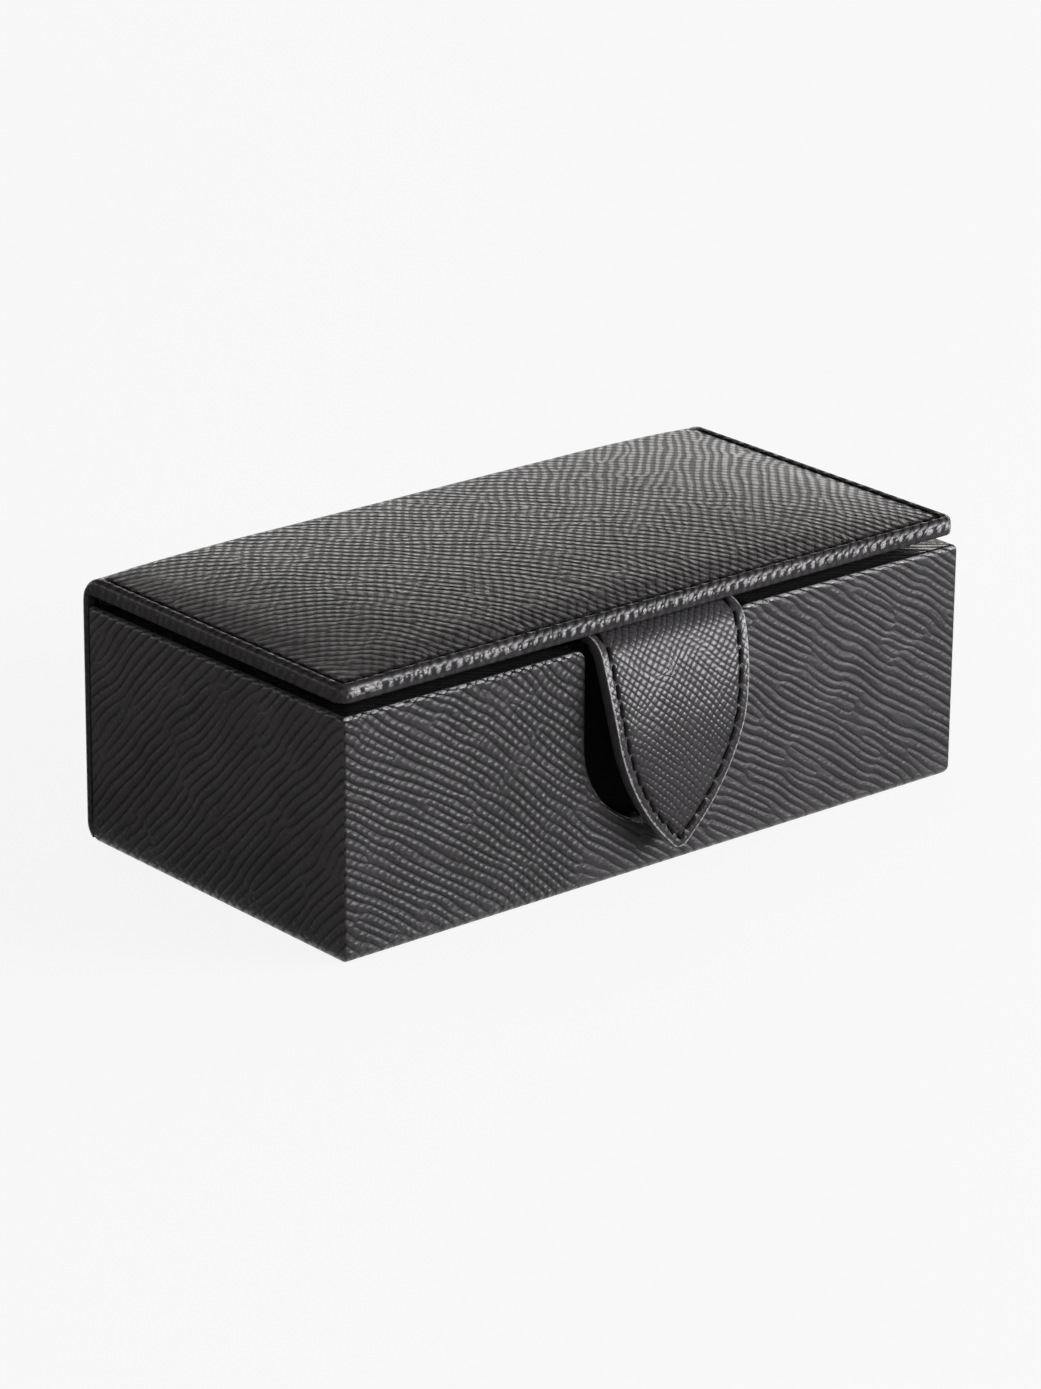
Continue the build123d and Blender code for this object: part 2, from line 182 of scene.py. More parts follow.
# %% Group for one set of pressed lines
n, at, last = new_group(
    "Pressed Lines",
    [
        ("Place", "Vector", None),
        ("Angle", "Float", 0.0),
        ("Spacing", "Float", 2.0),
        ("Reach", "Float", 7.0),
        ("Wander", "Float", 1.0),
    ],
    [("Ridge", "Float"), ("Firm", "Float")],
)
SLOW, QUICK = 0.9, 0.8  # drifts to one reach of a line, and to one spacing between lines
STREAK = (0.12, 1, 1)  # draws the quick drift out along the lines
MIDDLE = (0.5, 0.5, 0.5)
turned = n.put(
    "ShaderNodeVectorRotate",
    {"rotation_type": "Z_AXIS", "invert": True},
    {0: at["Place"], "Angle": at["Angle"]},
)
streaks = n.vector("MULTIPLY", turned, STREAK)
slow, quick = n.sum("DIVIDE", SLOW, at["Reach"]), n.sum("DIVIDE", QUICK, at["Spacing"])
moved = at["Place"]
for source, scale in ((at["Place"], slow), (streaks, quick)):
    drift = n.put("ShaderNodeTexNoise", {}, {"Vector": source, "Scale": scale, "Detail": 1.5}, 1)
    drift = n.vector("SUBTRACT", drift, MIDDLE)
    drift = n.put("ShaderNodeVectorMath", {"operation": "SCALE"}, {0: drift, "Scale": at["Wander"]})
    moved = n.vector("ADD", moved, drift)
waves = n.put(
    "ShaderNodeTexGabor",
    {"gabor_type": "2D"},
    {
        "Vector": moved,
        "Scale": n.sum("DIVIDE", 1, at["Reach"]),
        "Frequency": n.sum("DIVIDE", at["Reach"], at["Spacing"]),
        "Anisotropy": 1.0,
        "Orientation": n.sum("ADD", at["Angle"], pi / 2),
    },
).node
ridge = n.sum("MULTIPLY", n.sum("PINGPONG", waves.outputs["Phase"], 0.5), 2)
n.tree.links.new(ridge, last.inputs["Ridge"])
n.tree.links.new(n.ramp(waves.outputs["Intensity"], 0.0, 0.25, 0.5, 1.0), last.inputs["Firm"])
pressed_lines = n.tree
print("group:", pressed_lines.name)

# %% [markdown]
# ## Cross grain
# Two sets of lines cross and leave small pillows between them. Each groove is sharp and each ridge round,
# which a parabola between two grooves gives. The ground is not flat: calf keeps fine pores and creases. The
# group adds these up as one height in grain depths, and gives a dip that marks the groove, where the
# leather is later darkened as painted shade.

# %% Group for the whole grain
n, at, last = new_group(
    "Cross Grain",
    [
        ("First Place", "Vector", None),
        ("First Angle", "Float", 0.0),
        ("First Spacing", "Float", 2.15),
        ("First Depth", "Float", 1.0),
        ("Second Place", "Vector", None),
        ("Second Angle", "Float", 1.57),
        ("Second Spacing", "Float", 2.2),
        ("Second Depth", "Float", 0.6),
        ("Reach", "Float", 12.0),
        ("Wander", "Float", 0.8),
        ("Narrow", "Float", 0.3),
        ("Pores", "Float", 0.16),
        ("Flat Top", "Float", 2.2),
    ],
    [("Height", "Float"), ("Dip", "Float"), ("Mottle", "Float")],
)
heights, dips = [], []
for label in ("First", "Second"):
    links = {key: at[label + " " + key] for key in ("Place", "Angle", "Spacing")}
    links.update({key: at[key] for key in ("Reach", "Wander")})
    found = n.put("ShaderNodeGroup", {"node_tree": pressed_lines}, links).node
    depth = n.sum("MULTIPLY", at[label + " Depth"], found.outputs["Firm"])
    fall = n.sum("POWER", n.sum("SUBTRACT", 1, found.outputs["Ridge"]), at["Flat Top"])
    heights.append(n.sum("MULTIPLY", fall, depth))
    dips.append(n.ramp(found.outputs["Ridge"], at["Narrow"], 0.0, 0.0, depth))
PORE, CREASE, CLOUD = 0.7, 2.2, 14.0  # mm across
pores = n.noise(at["First Place"], PORE, 2.0, 0.6)
creases = n.noise(at["Second Place"], CREASE, 2.0, 0.6)
fine = n.sum("MULTIPLY", n.sum("SUBTRACT", n.sum("ADD", pores, creases), 1), at["Pores"])
n.tree.links.new(n.sum("SUBTRACT", fine, n.sum("ADD", *heights)), last.inputs["Height"])
n.tree.links.new(n.put("ShaderNodeClamp", {}, {0: n.sum("ADD", *dips)}), last.inputs["Dip"])
n.tree.links.new(n.noise(at["First Place"], CLOUD, 3.0, 0.55), last.inputs["Mottle"])
cross_grain = n.tree
print("group:", cross_grain.name)

# %% [markdown]
# ## Wear and painted highlight along edges
# Where leather goes over an edge it is rubbed: the finish is polished there and the dye is a little paler
# on the high spots, and the edge catches the light. The pale flecks stand for both, the paler dye and a
# painted highlight. The group takes how near the edge is, from 0 to 1, and breaks it up with a fine noise,
# so that the pale marks come in flecks.

# %% Group for edge wear and painted highlight
n, at, last = new_group(
    "Edge Wear and Highlight",
    [("Place", "Vector", None), ("Edge", "Float", 0.0), ("Fleck", "Float", 0.9)],
    [("Wear", "Float")],
)
links = {"Vector": at["Place"], "Scale": n.sum("DIVIDE", 1, at["Fleck"])}
flecks = n.put("ShaderNodeTexNoise", {}, {**links, "Detail": 3.0, "Roughness": 0.65})
CONTRAST = 1.8
caught = n.sum("MULTIPLY_ADD", n.sum("SUBTRACT", flecks, 0.5), CONTRAST, at["Edge"])
caught = n.ramp(caught, 0.5, 1.1)
# The output is the share of pale flecks: worn dye and a painted highlight.
n.tree.links.new(n.sum("MULTIPLY", caught, at["Edge"]), last.inputs["Wear"])
edge_wear_and_highlight = n.tree
print("group:", edge_wear_and_highlight.name)

# %% [markdown]
# ## Leather material
# The real leather is calf dyed through, pressed, and given a thin clear finish. One function makes every
# leather here. It needs only where the surface is, in millimetres laid flat, and how the lines run there.
# Shine comes from the Principled shader; the grain drives its colour, roughness and a bump.


# %% New material, and places on the leather
def new_material(name, rough=0.5):
    made = bpy.data.materials.new(name)
    made.use_nodes = True
    shader = made.node_tree.nodes["Principled BSDF"]
    shader.inputs["Roughness"].default_value = rough
    return made, Nodes(made.node_tree), shader


def flat_place(n):
    """Millimetres across the leather as it was laid flat, from the piece's own UV map."""
    where = n.put("ShaderNodeUVMap", {"uv_map": "laid_flat"})
    return n.vector("MULTIPLY", where, PER_MM)


def wall_place(n, across, upward):
    """Millimetres on a wall of the box: across and upward each add up the object's coordinates."""
    where = n.own_place()
    parts = [n.vector("DOT_PRODUCT", where, way) for way in (across, upward)]
    return n.put("ShaderNodeCombineXYZ", {}, {0: parts[0], 1: parts[1]})


def grain_node(n, place, first, second, reach=9.0, wander=1.1, narrow=0.6, pores=0.4, flat_top=2.2):
    """first and second give the angle in degrees, the spacing and the depth of a set of lines, as
    numbers or as the outputs of nodes."""
    links = {"First Place": place, "Second Place": place}
    for label, (angle, spacing, depth) in (("First", first), ("Second", second)):
        turned = radians(angle) if isinstance(angle, (int, float)) else n.sum("RADIANS", angle)
        links.update({label + " Angle": turned, label + " Spacing": spacing, label + " Depth": depth})
    links.update({"Reach": reach, "Wander": wander, "Narrow": narrow})
    links.update({"Pores": pores, "Flat Top": flat_top})
    return n.group(cross_grain, links).node


print("places: laid flat, or on a wall")

# %% Leather function
# Dye on the ridges. The far darker colour in the grooves is painted shade.
INK_HIGH, GROOVE_SHADE = (0.048, 0.046, 0.049, 1), (0.010, 0.0098, 0.0105, 1)  # on the ridge, in the groove
# Pale flecks on edges stand for worn dye and a painted highlight. The near-black colour is painted shade.
WEAR_AND_HIGHLIGHT, PAINTED_SHADE = (0.45, 0.45, 0.47, 1), (0.008, 0.008, 0.0085, 1)
WEAR_HIGHLIGHT_SHARE, WORN_RISE = 0.8, 0.6  # how much the flecks are paled, as worn dye and a painted highlight, and how far they stand up
POLISHED, SHELTERED = 0.12, 0.25  # roughness of a rubbed edge, and of the leather where shade is painted


def shade_leather(
    n, shader, place, grain, shine=(0.3, 0.6), press=0.2,
    smooth=None, edge=None, shade_mask=None, low=None, painted_brightness=1.0,
):
    """Colours and bumps a leather. Masks from 0 to 1 change it: smooth flattens the grain where it was
    burnished, edge paints pale flecks, worn and with a painted highlight, where it turns over an edge,
    shade_mask paints it near black as shade under the lid and in the recess, and low presses the ridges
    flat but keeps the painted shade in the grooves. shine is the roughness on a ridge and in a groove,
    press the depth of the grain in mm, and painted_brightness darkens or lightens the whole leather as
    painted light."""
    dip, height = grain.outputs["Dip"], grain.outputs["Height"]
    for mask, share in ((smooth, 1.0), (edge, 0.2), (shade_mask, 0.8)):
        if mask is not None:
            keep = n.sum("MULTIPLY_ADD", mask, -share, 1)
            height, dip = n.sum("MULTIPLY", height, keep), n.sum("MULTIPLY", dip, keep)
    if low is not None:
        height = n.sum("MULTIPLY", height, n.sum("SUBTRACT", 1, low))
    rough = n.ramp(dip, 0, 1, *shine)
    # Darker in the grooves: painted shade.
    colour = n.blend(dip, INK_HIGH, GROOVE_SHADE)
    # The mottle is the hide's own unevenness; painted_brightness scales it all as painted light or shade.
    shade = n.ramp(grain.outputs["Mottle"], 0.3, 0.7, 0.86 * painted_brightness, 1.12 * painted_brightness)
    colour = n.put("ShaderNodeHueSaturation", {}, {"Value": shade, "Color": colour})
    # Pale flecks where the leather turns over an edge: worn dye, and a painted highlight.
    if edge is not None:
        wear_and_highlight = n.group(edge_wear_and_highlight, {"Place": place, "Edge": edge})
        wear_and_highlight = n.sum("MULTIPLY", wear_and_highlight, n.ramp(dip, 0.5, 0.1))
        colour = n.blend(n.sum("MULTIPLY", wear_and_highlight, WEAR_HIGHLIGHT_SHARE), colour, WEAR_AND_HIGHLIGHT)
        height = n.sum("MULTIPLY_ADD", wear_and_highlight, WORN_RISE, height)
        rough = n.sum("MULTIPLY_ADD", edge, n.sum("SUBTRACT", POLISHED, rough), rough)
    # Painted shade: the leather goes near black on the rim's top under the lid and in the finger recess.
    if shade_mask is not None:
        colour = n.blend(shade_mask, colour, PAINTED_SHADE)
        rough = n.sum("MULTIPLY_ADD", shade_mask, n.sum("SUBTRACT", SHELTERED, rough), rough)
    n.dress(shader, colour, rough, height, press)


print("dye on the ridges:", INK_HIGH[:3], "in the grooves:", GROOVE_SHADE[:3])

# %% Where a wall gets worn flecks with a painted highlight, and where its shade is painted
RIM = (44.2 * MM, 45.3 * MM)  # heights between which the wall rounds over to its rim


def wall_masks(n, worn_and_lit):
    """How near the edges are, for worn flecks with a painted highlight, and the rim's flat top under the
    lid, for painted shade, from the way a wall faces.
    """
    facing = n.part(n.put("ShaderNodeTexCoord", out=1), 2)
    height = n.part(n.put("ShaderNodeTexCoord", out=3), 2)
    near_rim = n.sum("MAXIMUM", n.ramp(facing, 0.1, 0.4), n.ramp(height, *RIM, 0.0, 0.8))
    near_rim = n.sum("MULTIPLY", near_rim, n.ramp(facing, 0.98, 0.85))
    edge = n.sum("MULTIPLY_ADD", n.ramp(facing, -0.1, -0.5), 0.6, near_rim)
    return n.sum("MULTIPLY", edge, worn_and_lit), n.ramp(facing, 0.9, 0.99)


print("rim edge:", round((RIM[1] - RIM[0]) / MM, 1), "mm high")

# %% Front leather
RECESS = (-37.3 * MM, -36.6 * MM)  # the finger recess turns in between these depths
LINES = 1.65  # mm between two lines
front_leather, n, shader = new_material("front leather")
place = wall_place(n, (1, 0, 0), (0, 1, 1))
along = n.part(place, 0)
from_left = n.ramp(along, -52, -30)
to_recess = n.ramp(along, -16, -24)
steeper = n.sum("MULTIPLY", from_left, to_recess)
first_angle = n.sum("MULTIPLY_ADD", steeper, -11, -33)
crossing = n.sum("MULTIPLY_ADD", steeper, 0.25, n.ramp(along, -8, -30, 0.06, 0.5))
lines = (first_angle, LINES, 1.0), (49, LINES, crossing)
grain = grain_node(n, place, *lines, pores=0.55, flat_top=1.7)
edge, shade_mask = wall_masks(n, 1.0)
# Painted shade inside the finger recess.
recess_shade = n.ramp(n.part(n.put("ShaderNodeTexCoord", out=3), 1), *RECESS)
shade_mask = n.sum("MAXIMUM", shade_mask, recess_shade)
# painted_brightness 0.82 darkens the front: painted shade.
shade_leather(n, shader, place, grain, (0.38, 0.65), edge=edge, shade_mask=shade_mask, painted_brightness=0.82)
print("material:", front_leather.name)

# %% Leather of the ends and the back
leathers = {"front_leather": front_leather}
for node, across, upward, lines in (
    ("left_leather", (0, 1, 0), (1, 0, 1), ((-44, 1.8, 1.0), (46, 1.9, 0.15))),
    ("right_leather", (0, 1, 0), (-1, 0, 1), ((-44, 1.8, 1.0), (46, 1.9, 0.25))),
    ("rear_leather", (1, 0, 0), (0, -1, 1), ((-38, 1.8, 1.0), (47, 1.9, 0.5))),
):
    leathers[node], n, shader = new_material(node.replace("_", " "))
    place = wall_place(n, across, upward)
    # The ends and the back get less than half the front's worn flecks and painted highlight.
    edge, shade_mask = wall_masks(n, 0.45)
    grain = grain_node(n, place, *lines, pores=0.5, flat_top=1.7)
    # painted_brightness 1.16 lightens the ends and the back: painted light.
    shade_leather(n, shader, place, grain, edge=edge, shade_mask=shade_mask, painted_brightness=1.16)


def cover(node, finish):
    """Gives a node of the frame a new material."""
    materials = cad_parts[node].data.materials
    materials.clear()
    materials.append(finish)


for node, finish in leathers.items():
    cover(node, finish)
print("leather walls:", len(leathers))

# %% [markdown]
# ## The lid's leather bends the lines
# On the lid the lines were pulled out of line when the leather was drawn over the padding. They run along
# the box at the left end and turn to stand upright near the front. The angle given to the group changes
# with the distance from those two edges, and the spacing stays as it is.

# %% Lid leather
lid_leather, n, shader = new_material("lid leather")
place = flat_place(n)
along, back = n.part(place, 0), n.part(place, 1)
left_pull = n.sum("POWER", n.ramp(along, -34, -72), 1.4)
front_pull = n.sum("POWER", n.ramp(back, 0, -37), 1.5)
first_angle = n.sum("MULTIPLY_ADD", left_pull, 31, n.sum("MULTIPLY_ADD", front_pull, -30, -47))
fading = n.sum("MULTIPLY", n.ramp(along, 0, 55), n.ramp(back, -32, -8))
first_depth = n.sum("MULTIPLY_ADD", fading, -0.5, 0.95)
crossing = n.ramp(along, -73, -58, 0.5, 1.25)
lines = (first_angle, 2.0, first_depth), (48, 1.75, crossing)
grain = grain_node(n, place, *lines, reach=8.0, pores=0.5, flat_top=1.7, narrow=0.85)
low = n.ramp(along, -38, -70, 0.0, 0.65)
marks = {"smooth": n.mark("burnish"), "edge": n.mark("edge"), "low": low}
shade_leather(n, shader, place, grain, (0.3, 0.5), 0.13, **marks)
print("material:", lid_leather.name)

# %% [markdown]
# ## Mesh from a sheet of points
# The lid's skin, the tab and the pads are all sheets. They are worked out as rows of points with their
# place on the flat leather beside each, and one function turns such rows into a smooth mesh with a UV map.


# %% Sheet function
def new_piece(name, points, faces, materials, flat=None, marks=None):
    mesh = bpy.data.meshes.new(name)
    mesh.from_pydata([tuple(x * MM for x in p) for p in points], [], faces)
    for finish in materials:
        mesh.materials.append(finish)
    if marks is not None:
        mesh.polygons.foreach_set("material_index", marks)
    if flat is not None:
        layer = mesh.uv_layers.new(name="laid_flat")
        corners = np.empty(len(mesh.loops), int)
        mesh.loops.foreach_get("vertex_index", corners)
        layer.data.foreach_set("uv", (np.array(flat, float)[corners] * MM).ravel())
    mesh.polygons.foreach_set("use_smooth", [True] * len(mesh.polygons))
    mesh.update()
    piece = bpy.data.objects.new(name, mesh)
    scene.collection.objects.link(piece)
    return piece


def set_mark(piece, name, values):
    """Stores one number for each point of a piece, for its material to read."""
    layer = piece.data.attributes.new(name, "FLOAT", "POINT")
    layer.data.foreach_set("value", np.array(values, np.float32))


def mend_normals(piece):
    """Turns every face of a closed piece outwards."""
    repair = bmesh.new()
    repair.from_mesh(piece.data)
    bmesh.ops.recalc_face_normals(repair, faces=repair.faces)
    repair.to_mesh(piece.data)
    repair.free()


def grid_faces(rows, columns, start=0, ring=False):
    """Faces between rows of points; ring joins the last column to the first."""
    faces = []
    for r in range(rows - 1):
        for c in range(columns if ring else columns - 1):
            d = (c + 1) % columns
            a = start + r * columns
            faces.append((a + c, a + d, a + columns + d, a + columns + c))
    return faces


def closed_faces(rows, columns):
    """Faces of two equal sheets of points, one behind the other, joined along their four edges."""
    count = rows * columns
    faces = grid_faces(rows, columns)
    faces += [tuple(reversed(face)) for face in grid_faces(rows, columns, count)]
    rim = [*range(columns), *range(2 * columns - 1, count, columns)]
    rim += [*range(count - 2, count - columns - 1, -1), *range(count - 2 * columns, 0, -columns)]
    return faces + [(a, b, b + count, a + count) for a, b in zip(rim, rim[-1:] + rim[:-1])]


def band_faces(previous, first):
    """Faces between a ring of points and the next one, whose points start at first."""
    count = len(previous)
    turn = [(k, (k + 1) % count) for k in range(count)]
    return [(previous[k], previous[m], first + m, first + k) for k, m in turn]


def join_rings(layers, middle):
    """All points and the triangles between them: rings, outermost first, and the points inside."""
    places = np.vstack(layers + [middle])
    count = len(layers[0])
    loop = [(k, (k + 1) % count) for k in range(count)]
    found = delaunay_2d_cdt([Vector(p) for p in places], loop, [], 1, 1e-5)
    return places, [tuple(found[3][k][0] for k in face) for face in found[2]]


def steps(start, end, about):
    """Even places from start up to end, about so far apart, without the end itself."""
    count = max(1, round(abs(end - start) / about))
    return [start + (end - start) * k / count for k in range(count)]


def bumpiness(x, y, size, seed=0.0):
    """Slow rise and fall between -1 and 1, the unevenness of anything made by hand."""
    return noise.noise(Vector((x / size + seed, y / size - seed, seed * 1.7)))


print("places half a millimetre apart:", steps(0, 2, 0.5))


# %% Path functions
def far_along(path):
    """Length along a path at each of its points."""
    return np.concatenate([[0], np.cumsum(np.hypot(*np.diff(path, axis=0).T))])


def on_path(path, far, run, reach):
    """Place and direction on a path at a length along it. reach is how far the direction looks."""
    run = min(max(run, 0), far[-1])

    def place(length):
        return np.array([np.interp(length, far, path[:, k]) for k in (0, 1)])

    way = place(min(run + reach, far[-1])) - place(max(run - reach, 0))
    return place(run), way / hypot(*way)


def resample(path, about, closed=False):
    """Even points about so far apart along a path."""
    path = np.vstack([path, path[:1]]) if closed else path
    far = far_along(path)
    count = max(3, round(far[-1] / about))
    where = np.linspace(0, far[-1], count + 1)
    where = where[:-1] if closed else where
    return np.stack([np.interp(where, far, path[:, 0]), np.interp(where, far, path[:, 1])], 1)


def gap_to(path, places):
    """Distance from each place to a closed path."""
    a, b = path, np.roll(path, -1, axis=0)
    d = b - a
    rel = places[:, None, :] - a[None]
    t = np.clip((rel * d).sum(2) / (d * d).sum(1), 0, 1)
    return np.sqrt(((rel - t[..., None] * d) ** 2).sum(2)).min(1)


def outward_from(ring):
    """Direction out of a closed ring of points, at each of them."""
    way = np.roll(ring, -1, axis=0) - np.roll(ring, 1, axis=0)
    way /= np.hypot(way[:, 0], way[:, 1])[:, None]
    ahead = np.roll(ring, -1, axis=0)
    area = (ring[:, 0] * ahead[:, 1] - ring[:, 1] * ahead[:, 0]).sum()
    return np.stack([way[:, 1], -way[:, 0]], 1) * (1 if area > 0 else -1)


def stepped_in(path, inset, about):
    """Points of a ring at a distance inside a path, without the loops that form at a sharp point."""
    dense = resample(path, 0.12, closed=True)
    moved = dense - outward_from(dense) * inset
    keep = gap_to(resample(path, 0.4, closed=True), moved) > inset - 0.02
    return resample(moved[keep], about, closed=True)


def dent(off, depth, middle, width):
    """A soft dent across a seam: how deep, where its middle is and how wide, in mm."""
    return depth * np.exp(-(((off - middle) / width) ** 2))


print("depth of a dent at its edge:", round(float(dent(1, 1, 0, 1)), 2))

# %% [markdown]
# ## The skin of the lid
# One piece of leather covers the lid: it starts under the front edge, turns up round the board, is
# stitched down, swells over the padding, turns over the back and runs on down the back of the box as the
# hinge. It is laid out here as a flat sheet, then every point is put where the leather goes.

# %% Lid sizes
HALF, FRONT, CORNER, EDGE = 72.4, -36.8, 2.5, 0.9  # half length, front, corner and edge radius
TOP, UNDER = 50.7, 47.4  # heights of the skin on the board and below it
WRAP, WRAP_Y, WRAP_Z = 4.4, 33.1, 46.3  # the turn over the back: radius and centre
SPINE_HALF, SPINE, FOOT, BACK = 72.5, 1.6, 3.6, 37.5  # the hinge: half length, thickness, foot, face
STITCH_IN, STITCH_END = 2.0, 32.1  # the seam: how far in from the edge, and where it ends
FOAM_IN, RISE = 2.8, 1.8  # the padding: how far in it starts, and how high it stands
SHOULDER, SHOULDER_SHARE = 7, 0.16  # width of its round shoulder, and share of the height there
LIP, TURN_IN = 0.3, 1.4  # how the skin turns under the board
FLAT_EDGE = CORNER - EDGE  # from the inner line of the lid to the start of its edge
inner_half, inner_front = HALF - CORNER, FRONT + CORNER
lip_start = EDGE * (pi / 2 - 1) + TOP - UNDER - LIP  # along the sheet from the start of the edge
print("lid:", 2 * HALF, "mm long,", TOP - UNDER, "mm thick at its edge")


# %% Edge and padding of the lid
def over_edge(e):
    """How far out, and how far down, the leather is at a distance e outside the inner line of the lid."""
    e -= FLAT_EDGE
    if e <= 0:
        return e + FLAT_EDGE, 0.0
    if e < EDGE * pi / 2:
        return FLAT_EDGE + EDGE * sin(e / EDGE), EDGE * (1 - cos(e / EDGE))
    if e < lip_start:
        down = e - EDGE * pi / 2 + EDGE
        belly = 0.1 * sin(pi * (down - EDGE) / (TOP - UNDER - EDGE - LIP))
        return CORNER + belly, down
    turn = (e - lip_start) / LIP
    if turn < pi / 2:
        return CORNER - LIP * (1 - cos(turn)), TOP - UNDER - LIP + LIP * sin(turn)
    return CORNER - LIP - LIP * (turn - pi / 2), TOP - UNDER


def swell(inside, whole):
    """Share of the padding's height at a distance inside the edge of the lid; whole is half its width."""
    reach = max(inside - FOAM_IN, 0)
    shoulder = sin(pi / 2 * min(reach / SHOULDER, 1)) ** 2
    crown = 1 - (1 - min(reach / whole, 1)) ** 2
    return SHOULDER_SHARE * shoulder + (1 - SHOULDER_SHARE) * crown


def padding_height(x, y):
    """Height of the padding over the lid's board at a place on the flat sheet."""
    along = swell(HALF - abs(x), 34)
    across = swell(y - FRONT, 33) if y < 0 else 1 - 0.5 * (y / WRAP_Y) ** 2
    if y > WRAP_Y:
        gone = min(1.0, (y - WRAP_Y) / (WRAP * radians(80)))
        across = 0.5 * cos(pi / 2 * gone) ** 1.2
    return RISE * along * across


print("crown of the padding:", round(padding_height(0, 0), 2), "mm")

# %% Seam of the lid
STITCH = 3.4  # mm from hole to hole, before the seam is shared out evenly
seam_x, seam_y, seam_turn = HALF - STITCH_IN, FRONT + STITCH_IN, 1.0
seam = [(-seam_x, STITCH_END - k * 0.1) for k in range(round((STITCH_END - seam_y - seam_turn) / 0.1))]
for k in range(10):
    a = pi + pi / 2 * k / 10
    seam.append((-seam_x + seam_turn + seam_turn * cos(a), seam_y + seam_turn + seam_turn * sin(a)))
half_front = round((seam_x - seam_turn) / 0.1)
seam += [(-seam_x + seam_turn + k * 0.1, seam_y) for k in range(half_front + 1)]
seam += [(-x, y) for x, y in reversed(seam[:-1])]
seam = np.array(seam)
seam_far = far_along(seam)
stitch_count = round(seam_far[-1] / STITCH)
stitch = seam_far[-1] / stitch_count


def seam_run(x, y):
    """Length along the seam abreast of a place on the lid."""
    if y - FRONT < HALF - abs(x):  # abreast of the front run
        return seam_far[-1] / 2 + x
    far = STITCH_END - y
    return far if x < 0 else seam_far[-1] - far


def seam_pull(x, y):
    """How far the stitches pull the leather down, in mm, with a dimple at each hole."""
    if y > STITCH_END + 0.5:
        return 0.0
    off = min(HALF - abs(x), y - FRONT) - STITCH_IN
    at_hole = 0.5 + 0.5 * cos(2 * pi * seam_run(x, y) / stitch)
    dimple = (dent(off, 0.16, 0, 0.75) + dent(off, 0.05, 1.4, 1.3)) * at_hole
    lip = dent(off, -0.10, -1.1, 0.55) * (1 - 0.5 * at_hole)
    return dent(off, 0.16, 0, 0.45) + dimple + lip


print("stitches on the lid:", stitch_count)

# %% Rows and columns of the skin
FINE, BENT, BACK_STEP = 0.72, 0.5, 1.1  # mm between points: on top, round the turn, down the back
corner_arc, lip_arc = EDGE * pi / 2, LIP * pi / 2
face_start, lip_at = FLAT_EDGE + EDGE * (pi / 2 - 1), FLAT_EDGE + lip_start
rings = [0, 0.25, 0.5, 0.75, 1.1, FLAT_EDGE] + [FLAT_EDGE + corner_arc * k / 4 for k in (1, 2, 3, 4)]
rings += [face_start + down for down in (1.5, 2.1, 2.7)]
rings += [lip_at + lip_arc * k / 2 for k in (0, 1, 2)] + [lip_at + lip_arc + TURN_IN]
columns = [-inner_half - e for e in reversed(rings[1:])] + steps(-inner_half, inner_half, FINE)
columns += [inner_half + e for e in rings]
wrap_end = WRAP_Y + WRAP * pi / 2
spine_run, foot_turn = WRAP_Z - FOOT, acos(1 - SPINE / FOOT)
rows = [inner_front - e for e in reversed(rings[1:])] + steps(inner_front, WRAP_Y, FINE)
rows += steps(WRAP_Y, wrap_end + 1.2, BENT) + steps(wrap_end + 1.2, wrap_end + spine_run, BACK_STEP)
rows += [wrap_end + spine_run + FOOT * foot_turn * k / 6 for k in range(7)]
print("skin:", len(rows), "x", len(columns), "points")


# %% Where each point of the skin goes
def spine_line(v):
    """Outside of the bare leather at a distance v back along the sheet: place and way out, in YZ."""
    if v <= WRAP_Y:
        return Vector((v, TOP)), Vector((0, 1))
    if v <= wrap_end:
        a = (v - WRAP_Y) / WRAP
        return Vector((WRAP_Y + WRAP * sin(a), WRAP_Z + WRAP * cos(a))), Vector((sin(a), cos(a)))
    down = v - wrap_end
    if down <= spine_run:
        return Vector((BACK, WRAP_Z - down)), Vector((1, 0))
    a = (down - spine_run) / FOOT
    return Vector((BACK - FOOT + FOOT * cos(a), FOOT - FOOT * sin(a))), Vector((cos(a), -sin(a)))


def edge_depth(v):
    """How thick the lid's edge is at a distance back: the whole lid, or the leather below the wrap."""
    if v <= WRAP_Y:
        return TOP - UNDER
    c = cos(min((v - WRAP_Y) / WRAP, radians(89)))
    return max(SPINE, min(TOP - UNDER, WRAP - (UNDER - WRAP_Z) / c))


def skin_point(u, v):
    """Where a place on the flat sheet ends up on the box."""
    side, fore = abs(u) - inner_half, inner_front - v
    if side > 0 and fore > 0:  # round the corner
        ring = max(side, fore)
        out, down = over_edge(ring)
        way = Vector((side, fore)).normalized() * out
        x, y, z = inner_half + way.x, inner_front - way.y, TOP - down
        if down == 0:
            z -= seam_pull(x, y)
        return (x if u > 0 else -x), y, z
    if fore > 0:
        out, down = over_edge(fore)
        z = TOP - down - (seam_pull(u, inner_front - out) if down == 0 else 0)
        return u, inner_front - out, z
    base, way = spine_line(v)
    out, down = (side, 0.0) if side <= 0 else over_edge(side)
    rise = 0.0
    if down == 0:
        x = inner_half + side
        rise = padding_height(x, v) - seam_pull(x, v)
        rise += 0.035 * bumpiness(u, v, 9, 2) * min(1, max(0, (HALF - x) / 6))
    down *= edge_depth(v) / (TOP - UNDER)
    wider = (SPINE_HALF - HALF) * min(1, max(0, (v - wrap_end + 1.5) / 2.5))
    x = inner_half + side + (wider if side > -1 else wider * max(0, (side + 6) / 5))
    if side > 0:
        x = inner_half + out + wider
    place = base + way * (rise - down)
    return (x if u > 0 else -x), place.x, place.y


